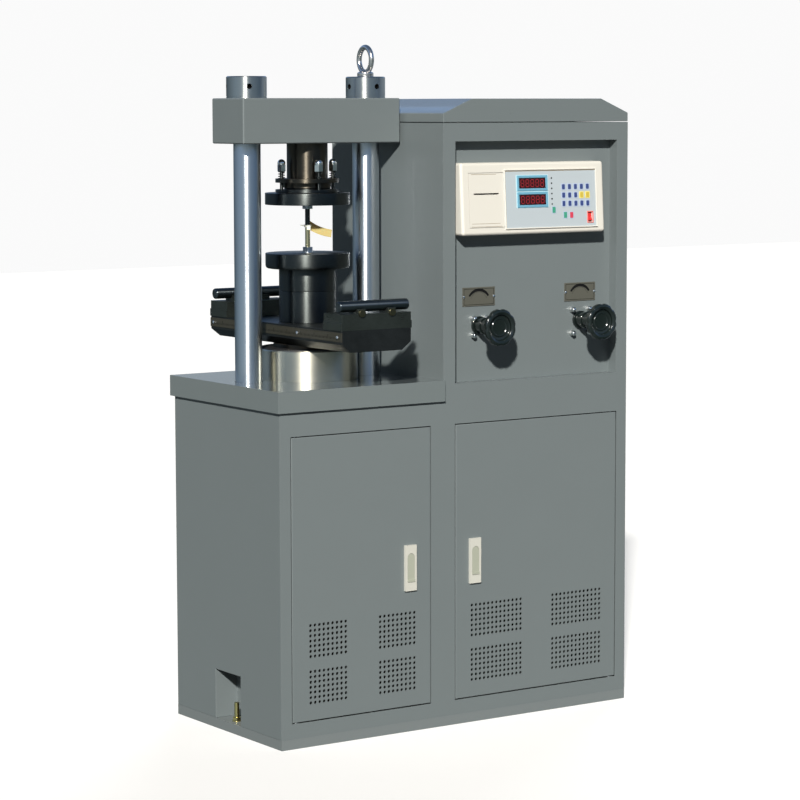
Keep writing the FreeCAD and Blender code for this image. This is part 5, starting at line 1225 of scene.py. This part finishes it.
def make_controller():
    dressed("controller_case", "cream_case", 0.0006, angle=40)
    dressed("printer_cover", "cream_case", 0.0006)
    dressed("membrane_panel", "grey_membrane", 0.0002)
    dressed("power_switch", "red_switch", 0.0007)

    foil_low, foil_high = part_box("membrane_panel")
    width = foil_high.x - foil_low.x
    height = (foil_high.z - foil_low.z) / math.cos(LEAN)
    centre = (foil_low + foil_high) / 2
    lip = 2.6 * MM
    rim = frame_mesh(width + lip, height + 2 * lip, lip, 3 * MM)
    on_controller(
        "membrane_rim", rim, "cream_case", centre.x + lip / 2 + 0.2 * MM, centre.z, 0,
    )
    # Brownish strips along the top and left of the membrane: painted shadow of the raised rim.
    shade = pill(width, 1.6 * MM, 0.3 * MM, 0.0003)
    on_controller(
        "membrane_edge_top", shade, "cream_shade", centre.x, foil_high.z - 1 * MM, FOIL,
    )
    shade = pill(1.2 * MM, height, 0.3 * MM, 0.0003)
    on_controller(
        "membrane_edge_left", shade, "cream_shade", foil_low.x + 3.4 * MM, centre.z, FOIL,
    )

    for index, z in enumerate((1090.2 * MM, 1056.9 * MM)):
        halo = pill(81 * MM, 33.2 * MM, 0.3 * MM, 0.001)
        on_controller(f"display_halo_{index}", halo, "display_halo", 171.5 * MM, z, FOIL)
        board = frame_mesh(77 * MM, 31.2 * MM, 5 * MM, 1.6 * MM)
        on_controller(f"display_frame_{index}", board, "display_blue", 171.5 * MM, z, FOIL + 0.2 * MM)
        glass = pill(68 * MM, 22.5 * MM, 0.6 * MM, 0.0006)
        on_controller(f"display_glass_{index}", glass, "display_glass", 171.5 * MM, z, FOIL + 0.2 * MM)
        on_controller(
            f"display_digits_{index}", digit_mesh(7.4 * MM, 14 * MM, 1.3 * MM), "segment_dark",
            171.5 * MM, z, FOIL + 0.9 * MM, 5, 1, (12.4 * MM, 0),
        )

    tile = pill(*KEY, 0.5 * MM)
    mark = pill(7.4 * MM, 10.4 * MM, 0.25 * MM, 0.0018)
    x, z = KEYPAD
    left = x - 2 * KEY_PITCH[0]
    groups = (
        ("top", x, z + KEY_PITCH[1], 5, "key_pale", "key_blue"),
        ("low", x, z - KEY_PITCH[1], 5, "key_pale", "key_blue"),
        ("middle", left + KEY_PITCH[0], z, 3, "key_pale", "key_blue"),
        ("yellow", left + 3.5 * KEY_PITCH[0], z, 2, "key_yellow", "key_amber"),
    )
    for name, x, z, count, tone, ink in groups:
        on_controller(f"keys_{name}", tile, tone, x, z, FOIL, count, 1, (KEY_PITCH[0], 0))
        on_controller(f"key_marks_{name}", mark, ink, x, z, FOIL + 0.5 * MM, count, 1, (KEY_PITCH[0], 0))
    for name, x, z, tone in (
        ("green_left", 224.9, 1035.2, "key_green"), ("green_right", 253.7, 1024.2, "key_green"),
        ("red", 269.6, 1023.8, "key_red"),
    ):
        halo = pill(11 * MM, 15 * MM, 0.3 * MM)
        on_controller(f"key_halo_{name}", halo, "key_pale", x * MM, z * MM, FOIL)
        key = pill(8 * MM, 12 * MM, 0.4 * MM)
        on_controller(f"key_{name}", key, tone, x * MM, z * MM, FOIL + 0.2 * MM)
    on_controller(
        "lamps", pill(3.4 * MM, 3.4 * MM, 0.5 * MM, 0.0016), "mark_dark", 220.8 * MM, 1073.4 * MM, FOIL,
        1, 6, (0, 10.5 * MM),
    )
    switch_low, switch_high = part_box("power_switch")
    bezel = frame_mesh(16 * MM, 24 * MM, 1.9 * MM, 1.2 * MM)
    on_controller(
        "switch_bezel", bezel, "switch_rim", (switch_low.x + switch_high.x) / 2, 1019 * MM, FOIL,
    )
    # Thin darker cream strips stand for the printer cover's grooves: painted shade inside them.
    for index, (width, x, z) in enumerate(((62, 52, 1109.5), (70, 55, 1011.5), (76, 57, 1005.6))):
        groove = pill(width * MM, 0.8 * MM, 0.12 * MM, 0.0003)
        on_controller(f"printer_line_{index}", groove, "cream_shade", x * MM, z * MM, 0)


# Valves and dial plates

VALVES = {side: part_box(f"{side}_handwheel") for side in ("left", "right")}
WHEEL_LOBES = 8


def wheel_mesh(centre, front):
    """Lobed wheel with a rounded rim and a stepped dish, its axis towards -Y."""
    profile = rounded([
        (0.0061, 0.0, 0), (0.013, 0.0, 0.001), (0.0135, 0.012, 0.002), (0.030, 0.0138, 0.003),
        (0.0375, 0.0185, 0.004), (0.0375, 0.0265, 0.0045), (0.0315, 0.0292, 0.003),
        (0.0262, 0.0262, 0.002), (0.0245, 0.0215, 0.002), (0.019, 0.0205, 0.001),
        (0.0175, 0.0225, 0.001), (0.0155, 0.0205, 0.001), (0, 0.0200, 0),
    ], 5)
    segments = 160
    bm = bmesh.new()
    rings = []
    for radius, height in profile:
        share = min(max((radius - 0.024) / 0.0135, 0), 1)
        if radius < 1e-6:
            rings.append([bm.verts.new((centre.x, front - height, centre.z))])
            continue
        ring = []
        for index in range(segments):
            angle = 2 * math.pi * index / segments
            scallop = max(0.0, math.cos(WHEEL_LOBES * angle)) ** 1.6
            reach = radius - 0.0019 * share * share * scallop
            ring.append(bm.verts.new((
                centre.x + reach * math.cos(angle), front - height, centre.z + reach * math.sin(angle),
            )))
        rings.append(ring)
    for low, high in zip(rings, rings[1:]):
        for index in range(segments):
            after = (index + 1) % segments
            if len(high) == 1:
                bm.faces.new((low[index], low[after], high[0]))
            else:
                bm.faces.new((low[index], low[after], high[after], high[index]))
    return mesh_of(bm, "handwheel")


def make_valves():
    dressed("valve_bodies", "black_phenolic", 0.0008)
    dressed("valve_nuts", "acorn_chrome", 0.0004, angle=50)
    for side, (low, high) in VALVES.items():
        centre = (low + high) / 2
        dressed(f"{side}_spindle", "bright_steel", 0.0004)
        finished(
            f"{side}_wheel", wheel_mesh(centre, high.y), "black_phenolic", f"{side}_handwheel",
            (f"{side}_handwheel",), 40,
        )
        collars = []
        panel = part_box("dial_plates")[1].y
        for start, end, radius in ((0.0, 0.006, 0.0185), (0.018, 0.027, 0.0172), (0.036, 0.045, 0.0165)):
            ring = [
                (0.0151, start, 0), (radius, start, 0.001), (radius, end, 0.001), (0.0151, end, 0),
            ]
            collars.append(mesh_of(spun(ring, (centre.x, panel, centre.z), "-y", 64, True), "collar"))
        rings = merged(collars, "neck_rings")
        finished(f"{side}_neck_rings", rings, "black_phenolic", "root")


def arc_band(centre_x, centre_z, y, inner, outer, half_angle, taper=0.0):
    """Flat arc in the XZ plane, thinner at its ends when tapered."""
    bm = bmesh.new()
    steps = 32
    rows = []
    for step in range(steps + 1):
        turn = -half_angle + 2 * half_angle * step / steps
        thin = taper * abs(turn / half_angle) ** 2 * (outer - inner)
        direction = Vector((math.sin(turn), 0, math.cos(turn)))
        base = Vector((centre_x, y, centre_z))
        rows.append((
            bm.verts.new(base + direction * (inner + thin)), bm.verts.new(base + direction * outer),
        ))
    for first, second in zip(rows, rows[1:]):
        bm.faces.new((first[0], second[0], second[1], first[1]))
    return mesh_of(bm, "arc")


def make_dial_plates():
    dressed("dial_plates", "bronze_plate", 0.0004)
    low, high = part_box("dial_plates")
    front = low.y - 0.00005
    marks = []
    domes = []
    for side in ("left", "right"):
        x = (VALVES[side][0].x + VALVES[side][1].x) / 2
        z = (low.z + high.z) / 2
        marks.append(arc_band(x, z - 0.0125, front, 0.023, 0.0292, math.radians(60), 0.35))
        marks.append(arc_band(x, z - 0.0125, front, 0.0215, 0.0219, math.radians(66)))
        for index in range(9):
            turn = math.radians(-56 + 14 * index)
            bm = block((-0.00018, front - 0.00004, 0.0222), (0.00018, front, 0.0238))
            bmesh.ops.rotate(
                bm, verts=bm.verts, cent=(0, 0, 0), matrix=Matrix.Rotation(turn, 3, "Y"),
            )
            bmesh.ops.translate(bm, verts=bm.verts, vec=(x, 0, z - 0.0125))
            marks.append(mesh_of(bm, "tick"))
        border = frame_mesh(74 * MM, 32.5 * MM, 0.8 * MM, 0.06 * MM)
        marks.append(stamped(border, 1, 1, 0, 0, (x, front, z), "mark_dark"))
        for sign in (-1, 1):
            profile = [(0.0026, 0, 0), (0.0026, 0.0006, 0), (0.0018, 0.0016, 0), (0, 0.002, 0)]
            spot = (x + sign * 0.0372, low.y, z)
            domes.append(mesh_of(spun(profile, spot, "-y", 24), "plate_dome"))
    finished("dial_marks", merged(marks, "dial_marks"), "mark_dark", "root")
    finished("dial_rivets", merged(domes, "dial_rivets"), "polished_steel", "root")


def make_roof():
    """Roof cover whose lower edge stands a shadow gap above the frame."""
    mesh = cad_copy("roof_cover")
    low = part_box("roof_cover")[0].z
    for vertex in mesh.vertices:
        if vertex.co.z < low + 0.001:
            vertex.co.z = low + 0.0014
    mesh = bevelled(mesh, 0.0012)
    finished("roof_cover_dressed", mesh, "roof_paint", "root", ("roof_cover",), None)


DRESSED = {
    "plinth": ("plinth_lit_paint", 0.0018), "left_side_panel": ("cabinet_paint", 0.0008),
    "right_side_panel": ("cabinet_paint", 0.0008), "partition_panel": ("cabinet_paint", 0.0006),
    "back_panel": ("cabinet_paint", 0.0006), "front_frame": ("cabinet_paint", 0.001),
    "table_top": ("deck_paint", 0.0014), "instrument_panel": ("cabinet_paint", 0.0008),
    "frame_legs": ("machine_grey", 0.0012), "base_beam": ("machine_grey", 0.0015),
    "crosshead": ("crosshead_paint", 0.0006),
    "hinge_pins": ("bright_steel", 0.0003),
    "left_lock_body": ("lock_plate", 0.0006), "right_lock_body": ("lock_plate", 0.0006),
    "left_lock_lever": ("lock_lever", 0.0006), "right_lock_lever": ("lock_lever", 0.0006),
    "left_lock_cam": ("bright_steel", 0.0004), "right_lock_cam": ("bright_steel", 0.0004),
    "oil_tank": ("machine_grey", 0.0015), "motor": ("machine_grey", 0.0006),
    "pump": ("machine_grey", 0.0015), "drive_coupling": ("bright_steel", 0.0006),
    "oil_pipes": ("zinc_plate", 0.0003), "anchor_bolts": ("brass_plate", 0.0005),
}


def build():
    make_finishes()
    add_camera()
    add_lamp("key", KEY_TOWARDS, 5.6, 2.5, (1.0, 0.965, 0.9))
    add_lamp("fill", FILL_TOWARDS, 1.8, 30, (0.9, 0.96, 1.0), mirrored=False)
    add_sky()
    add_floor()
    bpy.context.scene.view_settings.view_transform = "Standard"
    for node, (finish, width) in DRESSED.items():
        dressed(node, finish, width)
    for side in ("left", "right"):
        make_door(side)
    make_roof()
    make_columns()
    make_nuts()
    make_eye()
    make_ram()
    make_platens()
    make_seat()
    make_springs()
    make_transit()
    make_bending_tools()
    make_controller()
    make_valves()
    make_dial_plates()


build()
